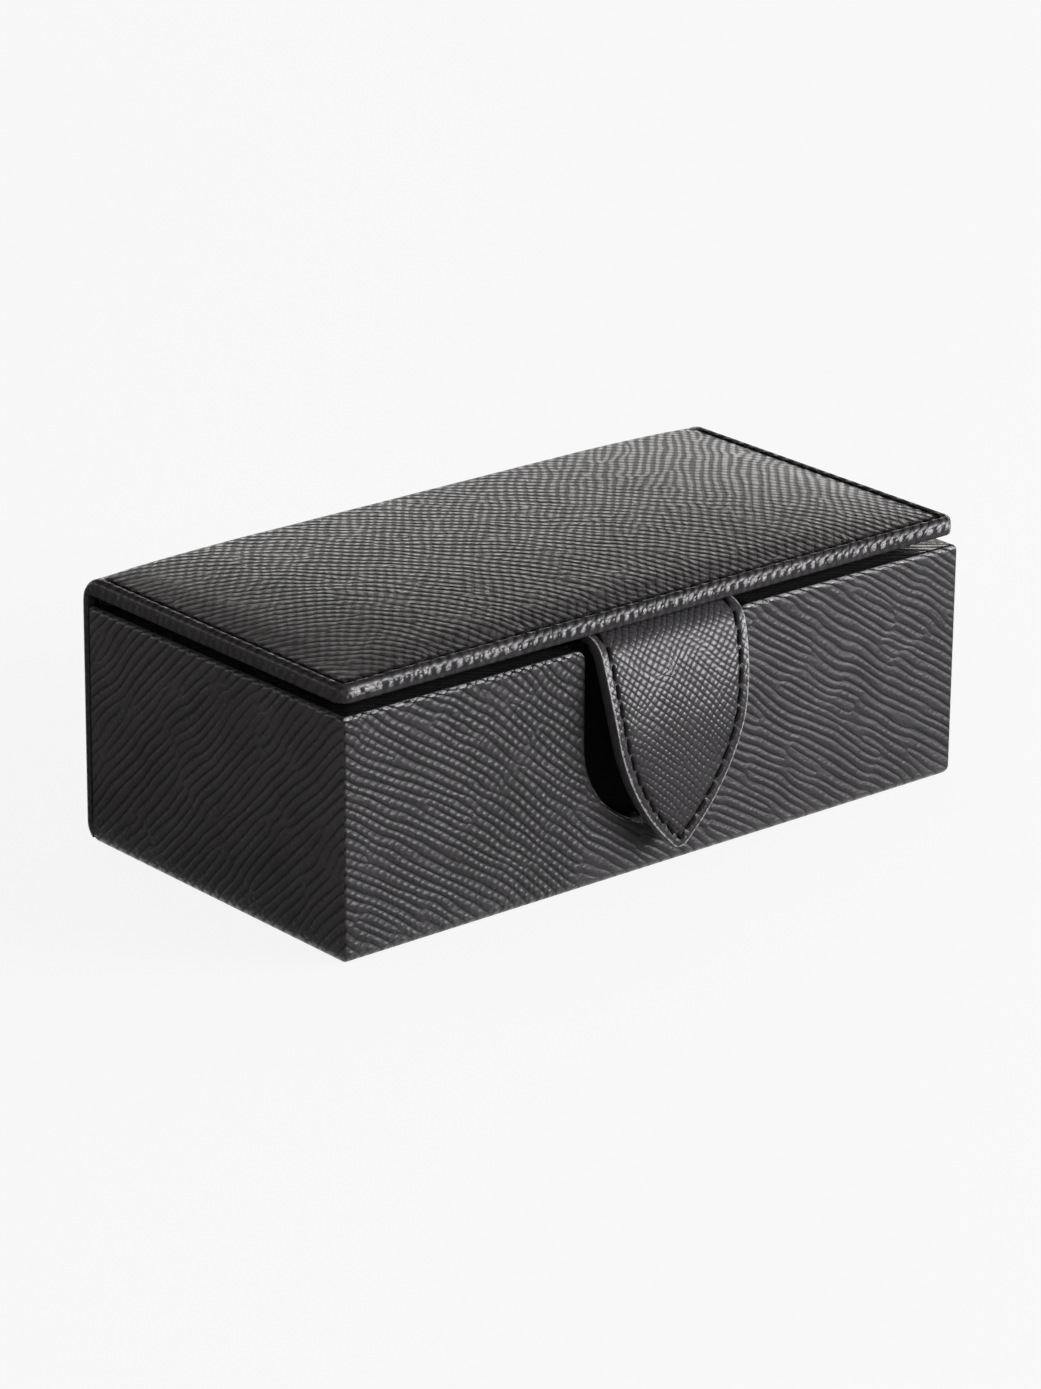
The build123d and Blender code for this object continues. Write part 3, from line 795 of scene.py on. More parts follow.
flat = [(u, v) for v in rows for u in columns]
points = [skin_point(u, v) for u, v in flat]
print("length of the sheet:", round(rows[-1] - rows[0], 1), "mm")


# %% The skin, and its worn edge with a painted highlight
def ease(value, low, high):
    """0 at low, 1 at high, and even in between."""
    return min(1, max(0, (value - low) / (high - low)))


faces = grid_faces(len(rows), len(columns))
skin = new_piece("lid_and_spine_leather", points, faces, [lid_leather], flat)
outside = [max(abs(u) - inner_half, inner_front - v) - FLAT_EDGE for u, v in flat]
set_mark(skin, "burnish", [0.35 * ease(e, 0.7, 1.6) for e in outside])
# The lid's front edge gets the full share of worn flecks with a painted highlight, the rest half.
worn_and_lit = [1.0 if y < -34 and x > -71 else 0.5 for x, y, z in points]
on_edge = [min(ease(e, 1.1, 1.6), ease(e, 3.3, 2.4)) for e in outside]
set_mark(skin, "edge", [r * e for e, r in zip(on_edge, worn_and_lit)])
print("skin:", len(faces), "faces")
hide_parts("lid_top_leather", "spine_leather")
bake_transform(skin)

# %% [markdown]
# ## Stitches one by one
# A machine has sewn the lid's edge with black bonded thread. Each stitch comes up from one needle slit and
# goes down in the next, so it is thickest in the middle and a little askew. Every stitch is a short tube
# with the bulges of two plies, and every slit is a small dark leaf pressed into the leather, which paints
# the shade inside the cut.

# %% Thread
thread_black, n, shader = new_material("bonded thread")
fibre = n.noise(n.own_place(), 0.16, 2.0)
colour = n.blend(fibre, (0.002, 0.002, 0.0022, 1), (0.008, 0.008, 0.0085, 1))
n.dress(shader, colour, n.ramp(fibre, 0.3, 0.7, 0.7, 0.9), fibre, 0.04, 0.8)
shader.inputs["Specular IOR Level"].default_value = 0.25

# The slit's near-black colour is painted shade: the inside of the cut, where no light reaches.
slit_shade, n, shader = new_material("needle slit", 0.95)
colour = n.blend(n.noise(n.own_place(), 0.3), (0.001, 0.001, 0.001, 1), (0.004, 0.004, 0.004, 1))
n.tree.links.new(colour, shader.inputs["Base Color"])
shader.inputs["Specular IOR Level"].default_value = 0.1
print("materials:", thread_black.name, "and", slit_shade.name)

# %% Stitches
ALONG, AROUND, LEAF = 11, 8, 10  # points along and round one stitch, and round one slit
SLIT_LEAN = (0.93, 0.36)  # cosine and sine of how far a slit leans from the seam


def sew(name, place, count, pitch, thick=0.3, slant=0.35, slit=0.85, wide=0.4):
    """Stitches along a seam. place gives a point for a length along it, a step sideways and a lift."""
    points, faces = [], []
    for k in range(count):
        first = len(points)
        for t in (j / (ALONG - 1) for j in range(ALONG)):
            run = (k + 0.07 + 0.86 * t) * pitch
            end = abs(2 * t - 1) ** 5
            size = thick * (1 - 0.35 * end)
            for a in (2 * pi * m / AROUND for m in range(AROUND)):
                ply = 1 + 0.13 * cos(2 * a - 2.2 * pi * 2 * t)
                step = size * ply * cos(a) + slant * (t - 0.5)
                points.append(place(run, step, size * ply * 0.8 * sin(a) + 0.12 - 0.34 * end))
        faces += grid_faces(ALONG, AROUND, first, ring=True)
    marks = [0] * len(faces)
    for k in range(count + 1):
        first = len(points)
        points.append(place(k * pitch, 0, 0.035))
        for a in (2 * pi * m / LEAF for m in range(LEAF)):
            along, step = slit * cos(a), wide * sin(a)
            run = k * pitch + along * SLIT_LEAN[0] - step * SLIT_LEAN[1]
            points.append(place(run, step * SLIT_LEAN[0] + along * SLIT_LEAN[1], -0.02))
        faces += [(first, first + 1 + m, first + 1 + (m + 1) % LEAF) for m in range(LEAF)]
        marks += [1] * LEAF
    return new_piece(name, points, faces, [thread_black, slit_shade], marks=marks)


def on_lid(run, step, lift):
    (x, y), (ahead, aside) = on_path(seam, seam_far, run, 0.2)
    x, y = x - aside * step, y + ahead * step
    return x, y, TOP - seam_pull(x, y) + lift


lid_stitches = sew("lid_stitching", on_lid, stitch_count, stitch)
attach(lid_stitches, "lid")
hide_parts("lid_thread")
print("thread mesh:", len(lid_stitches.data.polygons), "faces")

# %% [markdown]
# ## The pull tab
# The tab is two leathers with a stiffener between, cut to a point, sewn round, and its cut edge painted.
# Its outline is drawn on the flat leather. Rings are stepped in from that outline for the rounded edge,
# the smooth margin and the seam, the middle is filled with even points, and a triangulation joins them.

# %% Tab line
BEND, BEND_Y, BEND_Z = 5.0, -35.5, 42.4  # the fold: radius and centre
FOLD, LEAN = radians(18.663), radians(17.6)  # where the fold starts, and how steep it ends
SWEEP, CURVE_Y, CURVE_Z = 64.0, 20.738, 24.560  # the long curve below it: radius and centre
ROOT = 8.7  # how far the tab reaches under the lid
TAB_HALF, CHEEK, TIP, TIP_Z = 17.1, (14.9, 27.0), (2.2, 6.3), 5.1  # outline of the hanging tab
TAB_THICK, ROOT_THICK = 2.4, 1.5
root_start = -BEND * FOLD
bend_run = BEND * (pi / 2 - LEAN - FOLD)
curve_run = bend_run + SWEEP * LEAN
tab_run = curve_run + CURVE_Z - TIP_Z


def tab_line(v):
    """Outer face of the tab at a distance v below the fold: place and outward direction, in YZ."""
    if v < root_start:
        return Vector((BEND_Y - v + root_start, BEND_Z + BEND)), Vector((0, 1))
    if v < bend_run:
        a = FOLD + v / BEND
        return Vector((BEND_Y - BEND * sin(a), BEND_Z + BEND * cos(a))), Vector((-sin(a), cos(a)))
    if v < curve_run:
        a = LEAN - (v - bend_run) / SWEEP
        return Vector((CURVE_Y - SWEEP * cos(a), CURVE_Z + SWEEP * sin(a))), Vector((-cos(a), sin(a)))
    return Vector((CURVE_Y - SWEEP, CURVE_Z - (v - curve_run))), Vector((-1, 0))


def bowed(start, end, bulge, t):
    """Point on a shallow arc from start to end, at a share t of the way."""
    a, b = Vector(start), Vector(end)
    out = Vector((b.y - a.y, a.x - b.x)).normalized()
    if out.x < 0:
        out = -out
    return a.lerp(b, t) + out * bulge * 4 * t * (1 - t)


print("tab:", round(tab_run, 2), "mm from the fold to its tip")

# %% Tab outline
runs = np.linspace(0, tab_run, 400)
heights = np.array([tab_line(v)[0].y for v in runs])


def run_at(z):
    """Distance below the fold of a height on the hanging tab."""
    return float(np.interp(-z, -heights, runs))


STEP = 0.5
root_steps = int((ROOT - root_start) / STEP)
side = [(TAB_HALF, root_start - ROOT + 0.01 + k * STEP) for k in range(root_steps)]
top_z = tab_line(0.0)[0].y
for k in range(46):
    p = bowed((TAB_HALF, UNDER), CHEEK, 0.5, k / 46)
    if p.y < top_z:
        side.append((p.x, run_at(p.y)))
side += [(p.x, run_at(p.y)) for p in (bowed(CHEEK, TIP, 1.7, k / 52) for k in range(52))]
tip_radius = (TIP[0] ** 2 + (TIP[1] - TIP_Z) ** 2) / (2 * (TIP[1] - TIP_Z))
tip_turn = asin(TIP[0] / tip_radius)
for a in (tip_turn * (1 - k / 6) for k in range(7)):
    side.append((tip_radius * sin(a), tab_run - tip_radius * (1 - cos(a))))
outline = np.array(side + [(-x, v) for x, v in reversed(side[:-1])])
outline_fine = resample(outline, 0.4, closed=True)
print("tab outline:", round(2 * float(outline[:, 0].max()), 1), "mm wide")

# %% Tab seam
SEAM_IN, TAB_STITCH = 2.1, 3.5
ring = stepped_in(outline, SEAM_IN, 0.1)
hanging = ring[:, 1] > -1.4
start = int(np.flatnonzero(hanging & ~np.roll(hanging, 1))[0])
tab_seam = np.roll(ring, -start, axis=0)[: int(hanging.sum())]
tab_far = far_along(tab_seam)
tab_stitch_count = round(tab_far[-1] / TAB_STITCH)
tab_stitch = tab_far[-1] / tab_stitch_count


def tab_pull(places, inset):
    """How far the stitches pull the tab's leather in, with a dimple at each hole and a raised margin."""
    near = ((places[:, None, :] - tab_seam[None, ::3]) ** 2).sum(2).argmin(1) * 3
    at_hole = 0.5 + 0.5 * np.cos(2 * pi * tab_far[near] / tab_stitch)
    off = inset - SEAM_IN
    here = np.clip((places[:, 1] + 2) / 2, 0, 1)
    dimple = (dent(off, 0.14, 0, 0.7) + dent(off, 0.05, 1.3, 1.1)) * at_hole
    return (dent(off, 0.17, 0, 0.4) + dimple + dent(off, -0.07, -0.95, 0.5)) * here


tip_start = curve_run - 6


def tab_place(u, v, rise):
    """Place on the box of a point of the tab, rise above its outer face."""
    base, way = tab_line(v)
    place = base + way * rise
    if v > tip_start:  # the point of the tab comes back a little towards the box
        place.x += 0.45 * ((v - tip_start) / (tab_run - tip_start)) ** 2
    return u, place.x, place.y


def tab_depth(v, depth):
    """The tab is thinner behind its fold, where the lining stops."""
    share = min(1, max(0, v / 0.8))
    return depth * (ROOT_THICK / TAB_THICK * (1 - share) + share)


print("stitches on the tab:", tab_stitch_count)

# %% Tab face
PAINT_ROUND = 0.35  # radius of the painted edge
SEAM_RINGS = (0.7, 1.2, 1.6, 1.85, 2.1, 2.35, 2.8, 3.5)  # rings are closer where the seam dents the leather
layers = [stepped_in(outline, PAINT_ROUND, 0.5)]
layers += [stepped_in(outline, inset, 0.6) for inset in SEAM_RINGS]
across, along = np.arange(-TAB_HALF, TAB_HALF, 0.75), np.arange(root_start - ROOT, tab_run, 0.65)
middle = np.array([(x + (0.37 if k % 2 else 0), v) for k, v in enumerate(along) for x in across])
widths, lengths = zip(*side)
middle = middle[np.abs(middle[:, 0]) < np.interp(middle[:, 1], lengths, widths)]
middle = middle[gap_to(outline_fine, middle) > 4.0]
places, faces = join_rings(layers, middle)
inset = gap_to(outline_fine, places)
rise = -tab_pull(places, inset)
points = [tab_place(u, v, h) for (u, v), h in zip(places, rise)]
flat = [(u, -v) for u, v in places]
burnish = [0.5 * ease(d, SEAM_IN - 0.1, SEAM_IN - 0.7) for d in inset]
marks = [0] * len(faces)
print("tab face:", len(points), "points")

# %% Painted edge
border = layers[0]
outward = outward_from(border)
profile = [(PAINT_ROUND * sin(a), PAINT_ROUND * (1 - cos(a))) for a in (pi / 6, pi / 3, pi / 2)]
profile += [(PAINT_ROUND + 0.1 * sin(pi * t), PAINT_ROUND + 1.75 * t) for t in (0.2, 0.4, 0.6, 0.8, 1.0)]
profile += [(PAINT_ROUND - 0.3 * (1 - cos(a)), 2.1 + 0.3 * sin(a)) for a in (pi / 4, pi / 2)]
profile += [(-0.5, TAB_THICK)]
previous = list(range(len(border)))
for number, (out, down) in enumerate(profile):
    first = len(points)
    for (u, v), (a, b), pulled in zip(border, outward, rise):
        lift = (pulled if number < 2 else 0) - tab_depth(v, down)
        points.append(tab_place(u + a * out, v + b * out, lift))
        flat.append((u + a * out, -(v + b * out)))
    faces += band_faces(previous, first)
    marks += [0 if number < 1 else 1] * len(border)
    previous = list(range(first, len(points)))
burnish += [1.0] * (len(points) - len(burnish))
print("painted edge:", len(profile), "rings of", len(border), "points")

# %% Finishes of the tab
edge_paint, n, shader = new_material("edge paint")
brushed = n.noise(n.own_place(), 1.3, 3.0)
colour = n.blend(brushed, (0.028, 0.027, 0.029, 1), (0.065, 0.062, 0.066, 1))
n.dress(shader, colour, n.ramp(brushed, 0.2, 0.8, 0.36, 0.6), brushed, 0.15)

tab_leather, n, shader = new_material("tab leather")
place = flat_place(n)
lines = (-41, 1.2, 0.9), (50, 1.28, 0.9)
grain = grain_node(n, place, *lines, reach=7.0, wander=0.8, narrow=0.4)
shade_leather(n, shader, place, grain, (0.25, 0.5), 0.09, n.mark("burnish"), n.mark("edge"))
print("materials:", edge_paint.name, "and", tab_leather.name)

# %% The tab
finishes = [tab_leather, edge_paint]
tab = new_piece("tab_outer_leather_and_edge", points, faces, finishes, flat, marks)
set_mark(tab, "burnish", burnish)
# Worn flecks with a painted highlight along the tab's edge.
worn_and_lit = [ease(d, 0.9, 0.4) for d in inset]
set_mark(tab, "edge", worn_and_lit + [1.0] * (len(points) - len(worn_and_lit)))
mend_normals(tab)
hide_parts("tab_outer_leather", "tab_root")
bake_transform(tab)
print("tab:", len(points), "points,", len(faces), "faces")


# %% Tab stitches
def on_tab(run, step, lift):
    run = min(max(run, 0), tab_far[-1])
    (u, v), (ahead, aside) = on_path(tab_seam, tab_far, run, 0.3)
    u, v = u - aside * step, v + ahead * step
    pull = 0.17 + 0.07 * (1 + cos(2 * pi * run / tab_stitch))
    return tab_place(u, v, lift - pull * ease(v, -2, 0))


thread_size = {"thick": 0.5, "slant": 0.5, "slit": 0.9, "wide": 0.6}
tab_sewing = sew("tab_stitching", on_tab, tab_stitch_count, tab_stitch, **thread_size)
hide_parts("tab_thread")
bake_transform(tab_sewing)
print("tab thread:", len(tab_sewing.data.polygons), "faces")


# %% Inner layers of the tab
def tab_slab(name, near, far, inset, finish, node):
    """One closed inner layer of the tab between two depths, a little inside the outline."""
    rows = [0.02 + (tab_run - inset - 0.3) * k / 70 for k in range(71)]
    columns = [-1 + 2 * k / 14 for k in range(15)]
    points, flat = [], []
    for depth in (near, far):
        for v in rows:
            half = np.interp(v, lengths, widths) - inset
            points += [tab_place(c * half, v, -depth) for c in columns]
            flat += [(c * half, -v) for c in columns]
    piece = new_piece(name, points, closed_faces(len(rows), len(columns)), [finish], flat)
    piece.data.set_sharp_from_angle(angle=radians(50))
    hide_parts(node)
    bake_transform(piece)


def plain_leather(name, tint, dark, pore=0.8, rough=(0.45, 0.65)):
    """Smooth lining leather: fine pores and soft creases, no pressed lines."""
    finish, n, shader = new_material(name)
    where = n.own_place()
    links = {"Vector": where, "Scale": 1 / pore}
    pores = n.put("ShaderNodeTexVoronoi", {"feature": "DISTANCE_TO_EDGE"}, links)
    cells = n.ramp(pores, 0.0, 0.22)
    colour = n.blend(n.sum("MULTIPLY", cells, n.noise(where, 6.0, 3.0)), dark, tint)
    n.dress(shader, colour, n.ramp(cells, 0, 1, rough[1], rough[0]), cells, 0.05, 0.6)
    return finish


lining_leather = plain_leather("lining leather", (0.05, 0.048, 0.052, 1), (0.02, 0.019, 0.021, 1))
tints = (0.16, 0.12, 0.09, 1), (0.08, 0.06, 0.045, 1)
stiffener = plain_leather("bonded leather stiffener", *tints, pore=0.4, rough=(0.7, 0.9))
tab_slab("tab_lining", 1.52, 2.43, 0.28, lining_leather, "tab_lining_leather")
tab_slab("tab_stiffener", 1.0, 1.5, 0.5, stiffener, "tab_core")
print("materials:", lining_leather.name, "and", stiffener.name)

# %% [markdown]
# ## Inside of the lid
# The skin's turned edge is covered by a thin lining leather, and a soft suede pad hangs below it, just
# clear of the rim. Both are flat shapes with a soft edge, so one function makes them: rings step in from
# an outline, even points fill the middle, and each point hangs by its distance from the edge.


# %% Soft flat shapes
def within(path, places):
    """Which places lie inside a closed path: counts the edges that a ray crosses."""
    a, b = path, np.roll(path, -1, axis=0)
    x, y = places[:, :1], places[:, 1:]
    level = (a[:, 1] > y) != (b[:, 1] > y)
    rise = np.where(b[:, 1] == a[:, 1], 1, b[:, 1] - a[:, 1])
    at = a[:, 0] + (y - a[:, 1]) / rise * (b[:, 0] - a[:, 0])
    return (level & (x < at)).sum(1) % 2 == 1


# The rings down the side of a slab: how far out each one stands, and its share of the side's height.
SLAB_EDGE = ((0.3, 1.0), (0.36, 0.5 / 0.72), (0.4, 0.25 / 0.72), (0.4, 0.0))


def soft_slab(name, path, top, side, hang, finish, about=1.3, rings=(0.4, 0.8, 1.4, 2.2, 3.4)):
    """Closed flat shape whose upper side is at top and whose lower side hangs by hang(distance in)."""
    path = np.array(path, float)
    border = resample(path, 0.8, closed=True)
    layers = [stepped_in(path, inset, about) for inset in rings]
    across, along = (np.arange(path[:, k].min(), path[:, k].max(), about) for k in (0, 1))
    middle = np.array([(x, y) for x in across for y in along])
    middle = middle[within(path, middle)]
    middle = middle[gap_to(border, middle) > rings[-1] + 0.6 * about]
    places, faces = join_rings(layers, middle)
    points = []
    for (x, y), inset in zip(places, gap_to(border, places)):
        points.append((x, y, top - hang(inset) - 0.05 * bumpiness(x, y, 11, 3)))
    outward = outward_from(layers[0])
    previous = list(range(len(layers[0])))
    for out, down in SLAB_EDGE:
        first = len(points)
        z = top - (side * down if down < 1 else hang(rings[0]) * 0.86)
        points += [(x + a * out, y + b * out, z) for (x, y), (a, b) in zip(layers[0], outward)]
        faces += band_faces(previous, first)
        previous = list(range(first, len(points)))
    faces.append(tuple(previous))
    piece = new_piece(name, points, faces, [finish], [(x, y) for x, y, z in points])
    mend_normals(piece)
    piece.data.set_sharp_from_angle(angle=radians(60))
    return piece


print("rings round the edge of a soft slab:", len(SLAB_EDGE))

# %% [markdown]
# ## Suede
# Suede is leather with its fibres raised. It drinks light face on and brightens towards its edges, and a
# brushing hand leaves paler and darker patches. The patches and the short fibres are noise, and the
# brightening is the sheen of the Principled shader.


# %% Suede
def suede_finish(name, tint, patch=11.0):
    finish, n, shader = new_material(name)
    where = n.own_place()
    brushed = n.noise(n.vector("MULTIPLY", where, (0.5, 1, 1)), patch, 3.0, 0.6)
    fibre = n.noise(where, 0.28, 3.0, 0.7)
    share = n.sum("MULTIPLY_ADD", n.ramp(brushed, 0.35, 0.65), 0.6, n.sum("MULTIPLY", fibre, 0.4))
    dark, pale = [c * 0.62 for c in tint] + [1], [c * 1.3 for c in tint] + [1]
    n.dress(shader, n.blend(share, dark, pale), n.ramp(fibre, 0.2, 0.8, 0.86, 1.0), fibre, 0.12, 0.9)
    shader.inputs["Sheen Weight"].default_value = 0.35
    shader.inputs["Sheen Roughness"].default_value = 0.5
    shader.inputs["Specular IOR Level"].default_value = 0.2
    return finish


suede = suede_finish("charcoal suede", (0.072, 0.070, 0.074))
# The cushions' suede is paler than the liners'. Part of that is painted light, for cushions that lie in
# shade deep in their cells.
cushion_suede = suede_finish("cushion suede", (0.14, 0.136, 0.14), 7.0)

print("materials:", suede.name, "and", cushion_suede.name)

# %% Lining and pad of the lid
LINING_IN, LINING_BACK, LINING_CORNER = 1.2, 35.4, 1.6
lining_half, lining_front = HALF - LINING_IN, FRONT + LINING_IN
middle_x, middle_y = lining_half - LINING_CORNER, lining_front + LINING_CORNER
lining_path = [(-lining_half, LINING_BACK)]
for a in (0, 0.4, 0.8, 1.2, pi / 2):
    lining_path.append((-middle_x - LINING_CORNER * cos(a), middle_y - LINING_CORNER * sin(a)))
lining_path += [(-x, y) for x, y in reversed(lining_path)]
shape = {"top": UNDER + 0.6, "side": 0.55, "hang": lambda inset: 0.64}
lid_lining = soft_slab(
    "lid_lining", lining_path, **shape, finish=lining_leather, about=3.0, rings=(0.3, 1.0)
)
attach(lid_lining, "lid")
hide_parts("lid_lining_leather")

PAD_HALF, PAD_FRONT, PAD_BACK = 68.4, -32.8, 32.5
NOTCH, NOTCH_BACK = 17.3, -26.6  # leaves room for the root of the tab
pad_path = [(-PAD_HALF, PAD_BACK), (-PAD_HALF, PAD_FRONT), (-NOTCH, PAD_FRONT), (-NOTCH, NOTCH_BACK)]
pad_path += [(-x, y) for x, y in reversed(pad_path)]


def pad_hang(inset):
    """How far the pad hangs at a distance inside its edge."""
    return 1.0 + 0.72 * sin(pi / 2 * min(1, inset / 7)) ** 0.8


inner_pad = soft_slab("lid_inner_pad_suede", pad_path, 47.34, 0.9, pad_hang, suede)
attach(inner_pad, "lid")
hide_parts("lid_inner_pad")
print("inner pad:", len(inner_pad.data.polygons), "faces")

# %% [markdown]
# ## Padding under the skin
# A sheet of foam gives the lid its crown. It is never seen, but a true model has it: the same height
# formula as the skin's, one leather thickness lower, closed by the board below.


# %% Lid padding
def padding_foam():
    finish, n, shader = new_material("padding foam")
    links = {"Vector": n.own_place(), "Scale": 2.2}
    cells = n.put("ShaderNodeTexVoronoi", {"feature": "SMOOTH_F1"}, links)
    colour = n.blend(cells, (0.5, 0.46, 0.36, 1), (0.66, 0.63, 0.54, 1))
    n.dress(shader, colour, n.ramp(cells, 0, 0.6, 0.8, 1), cells, 0.2)
    return finish


LEATHER, GLUE = 0.98, 0.04  # mm below the skin, and left free under the crown
foam_half, foam_start = HALF - FOAM_IN, FRONT + FOAM_IN
foam_rows = steps(foam_start, WRAP_Y, 1.5) + steps(WRAP_Y, WRAP_Y + WRAP * radians(72), 0.7)
foam_columns = steps(-foam_half, foam_half, 1.5) + [foam_half]
points = []
for share in (1, 0):
    for v in foam_rows:
        base, way = spine_line(v)
        for u in foam_columns:
            place = base + way * (share * max(padding_height(u, v) - GLUE, 0.01) - LEATHER)
            points.append((u, place.x, place.y))
faces = closed_faces(len(foam_rows), len(foam_columns))
lid_padding = new_piece("lid_padding", points, faces, [padding_foam()])
mend_normals(lid_padding)
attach(lid_padding, "lid")
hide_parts("lid_foam")
print("padding:", len(foam_rows), "x", len(foam_columns), "points a side")

# %% [markdown]
# ## Lining of the hinge
# Inside the hinge a narrow strip of thin leather is glued to the rim and to the lid.
# It is a strip swept along a short line.

# %% Hinge lining
HINGE_LINE = [
    (33.2, 45.47), (34.6, 45.47), (35.5, 45.6), (35.8, 46.0),
    (35.85, 46.5), (35.7, 47.0), (35.2, 47.24), (33.4, 47.26),
]
HINGE_HALF, HINGE_THICK = 70, 0.3
hinge_path = resample(np.array(HINGE_LINE), 0.25)
across = steps(-HINGE_HALF, HINGE_HALF, 2.0) + [HINGE_HALF]
way = np.gradient(hinge_path, axis=0)
way /= np.hypot(way[:, 0], way[:, 1])[:, None]
points = []
for lift in (0, HINGE_THICK):
    for (y, z), (a, b) in zip(hinge_path, way):
        points += [(x, y + b * lift, z - a * lift + 0.04 * bumpiness(x, y + z, 5, 4)) for x in across]
faces = closed_faces(len(hinge_path), len(across))
hinge_lining = new_piece("hinge_lining", points, faces, [lining_leather])
mend_normals(hinge_lining)
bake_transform(hinge_lining)
print("hinge lining:", len(faces), "faces")

# %% [markdown]
# ## Liners and dividers
# The well is lined with suede-covered boards, and suede-covered dividers are halved into each other.
# Suede over card never has a sharp edge, so each is its board's own shape again with the edges rounded.


# %% Suede-covered boards
def rounded_copy(node, name, radius, finish):
    """A node of the base again, with every sharp edge rounded."""
    shape = bmesh.new()
    shape.from_mesh(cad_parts[node].data)
    bmesh.ops.remove_doubles(shape, verts=shape.verts, dist=0.01 * MM)
    bmesh.ops.dissolve_limit(shape, angle_limit=radians(2), verts=shape.verts, edges=shape.edges)
    sharp = [e for e in shape.edges if len(e.link_faces) == 2 and e.calc_face_angle() > radians(30)]
    rounding = {"offset": radius * MM, "segments": 3, "profile": 0.5, "affect": "EDGES"}
    bmesh.ops.bevel(shape, geom=sharp, clamp_overlap=True, **rounding)
    mesh = bpy.data.meshes.new(name)
    shape.to_mesh(mesh)
    shape.free()
    mesh.polygons.foreach_set("use_smooth", [True] * len(mesh.polygons))
    mesh.materials.append(finish)
    mesh.set_sharp_from_angle(angle=radians(40))
    piece = bpy.data.objects.new(name, mesh)
    scene.collection.objects.link(piece)
    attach(piece, "base")
    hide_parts(node)


LINERS = ("liner_front", "liner_rear", "liner_left", "liner_right")
DIVIDERS = ("long_divider_1", "cross_divider_1", "cross_divider_2", "cross_divider_3")
for node in LINERS + DIVIDERS:
    rounded_copy(node, node + "_suede", 0.45 if node in LINERS else 0.5, suede)
print("suede-covered boards:", len(LINERS + DIVIDERS))

# %% [markdown]
# ## Cushions
# A small suede cushion fills the floor of each cell. Padded cloth finds its own shape when it is blown up,
# so a block is given Blender's Cloth with pressure for twenty frames. Cloth behaves best at the size of
# furniture, so the block is made twenty times too large, and the result is brought back.

# %% Blow up one cushion
BIG = 20
CUSHION = Vector((29.2, 26.1, 4.4))
CAP = 0.75  # mm that a point may move
block = bmesh.new()
bmesh.ops.create_cube(block, size=1)
for corner in block.verts:
    corner.co.z += 0.5
    corner.co = corner.co * CUSHION * BIG * MM
rounding = {"offset": 1.3 * BIG * MM, "segments": 3, "profile": 0.5, "affect": "EDGES"}
bmesh.ops.bevel(block, geom=block.edges, **rounding)
mesh = bpy.data.meshes.new("cushion block")
block.to_mesh(mesh)
block.free()
blown = bpy.data.objects.new("cushion block", mesh)
scene.collection.objects.link(blown)
even = blown.modifiers.new("even", "REMESH")
even.mode, even.voxel_size = "VOXEL", 0.95 * BIG * MM
scene.view_layers.update()
remeshed = blown.evaluated_get(bpy.context.evaluated_depsgraph_get())
solid = bpy.data.meshes.new_from_object(remeshed)
blown.modifiers.clear()
blown.data = solid
rest = np.empty(len(solid.vertices) * 3)
solid.vertices.foreach_get("co", rest)
swollen = rest.copy()
cloth = blown.modifiers.new("cloth", "CLOTH")
cloth.settings.use_pressure = True
cloth.settings.uniform_pressure_force = 4
cloth.settings.effector_weights.gravity = 0
cloth.settings.quality = 5
for number in range(1, 21):
    scene.frame_set(number)
result = blown.evaluated_get(bpy.context.evaluated_depsgraph_get()).to_mesh()
result.vertices.foreach_get("co", swollen)
scene.frame_set(1)
move = (swollen - rest).reshape(-1, 3)
far = np.linalg.norm(move, axis=1, keepdims=True)
move *= np.minimum(1, CAP * BIG * MM / np.maximum(far, 1e-9))
cushion_points = (rest.reshape(-1, 3) + move) / BIG
cushion_faces = [tuple(face.vertices) for face in solid.polygons]
bpy.data.objects.remove(blown)
print("cushion points:", len(cushion_points), "moved up to", round(float(far.max() / BIG / MM), 2), "mm")


# %% Eight cushions
def refine(piece):
    """Divides every face once and rounds it a little."""
    finer = bmesh.new()
    finer.from_mesh(piece.data)
    bmesh.ops.subdivide_edges(finer, edges=finer.edges, cuts=1, use_grid_fill=True, smooth=0.4)
    bmesh.ops.recalc_face_normals(finer, faces=finer.faces)
    finer.to_mesh(piece.data)
    finer.free()
    piece.data.polygons.foreach_set("use_smooth", [True] * len(piece.data.polygons))


SPARE, SAG, LOFT = 0.2, 0.16, 0.4  # mm: past the block on each side, unevenness, and above its top
for number in range(1, 9):
    name = f"cushion_{number}"
    low, high = (Vector(corner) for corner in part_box(name))
    middle = (low + high) / 2
    limit = Vector((high.x - low.x, high.y - low.y, 0)) / 2 + Vector((SPARE, SPARE, 0)) * MM
    highest = high.z - low.z + LOFT * MM
    turned = -1 if number % 2 else 1
    points = []
    for x, y, z in cushion_points:
        x = max(-limit.x, min(limit.x, turned * x))
        y = max(-limit.y, min(limit.y, turned * y))
        sag = SAG * MM * bumpiness(x / MM, y / MM, 8, number) * min(1, z / (2 * MM))
        place = middle.x + x, middle.y + y, low.z + max(0, min(z + sag, highest))
        points.append([c / MM for c in place])
    cushion = new_piece(name + "_suede", points, cushion_faces, [cushion_suede])
    refine(cushion)
    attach(cushion, "base")
    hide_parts(name)
print("faces of one cushion:", len(cushion.data.polygons))

# %% [markdown]
# ## Boards and the cloth below
# The greyboards are covered on every side, but a cut or an exploded view would show them, so they get
# pressed paper fibres. The cloth glued under the box is a plain weave: two wave patterns at right angles,
# each raised where its thread passes over the other.

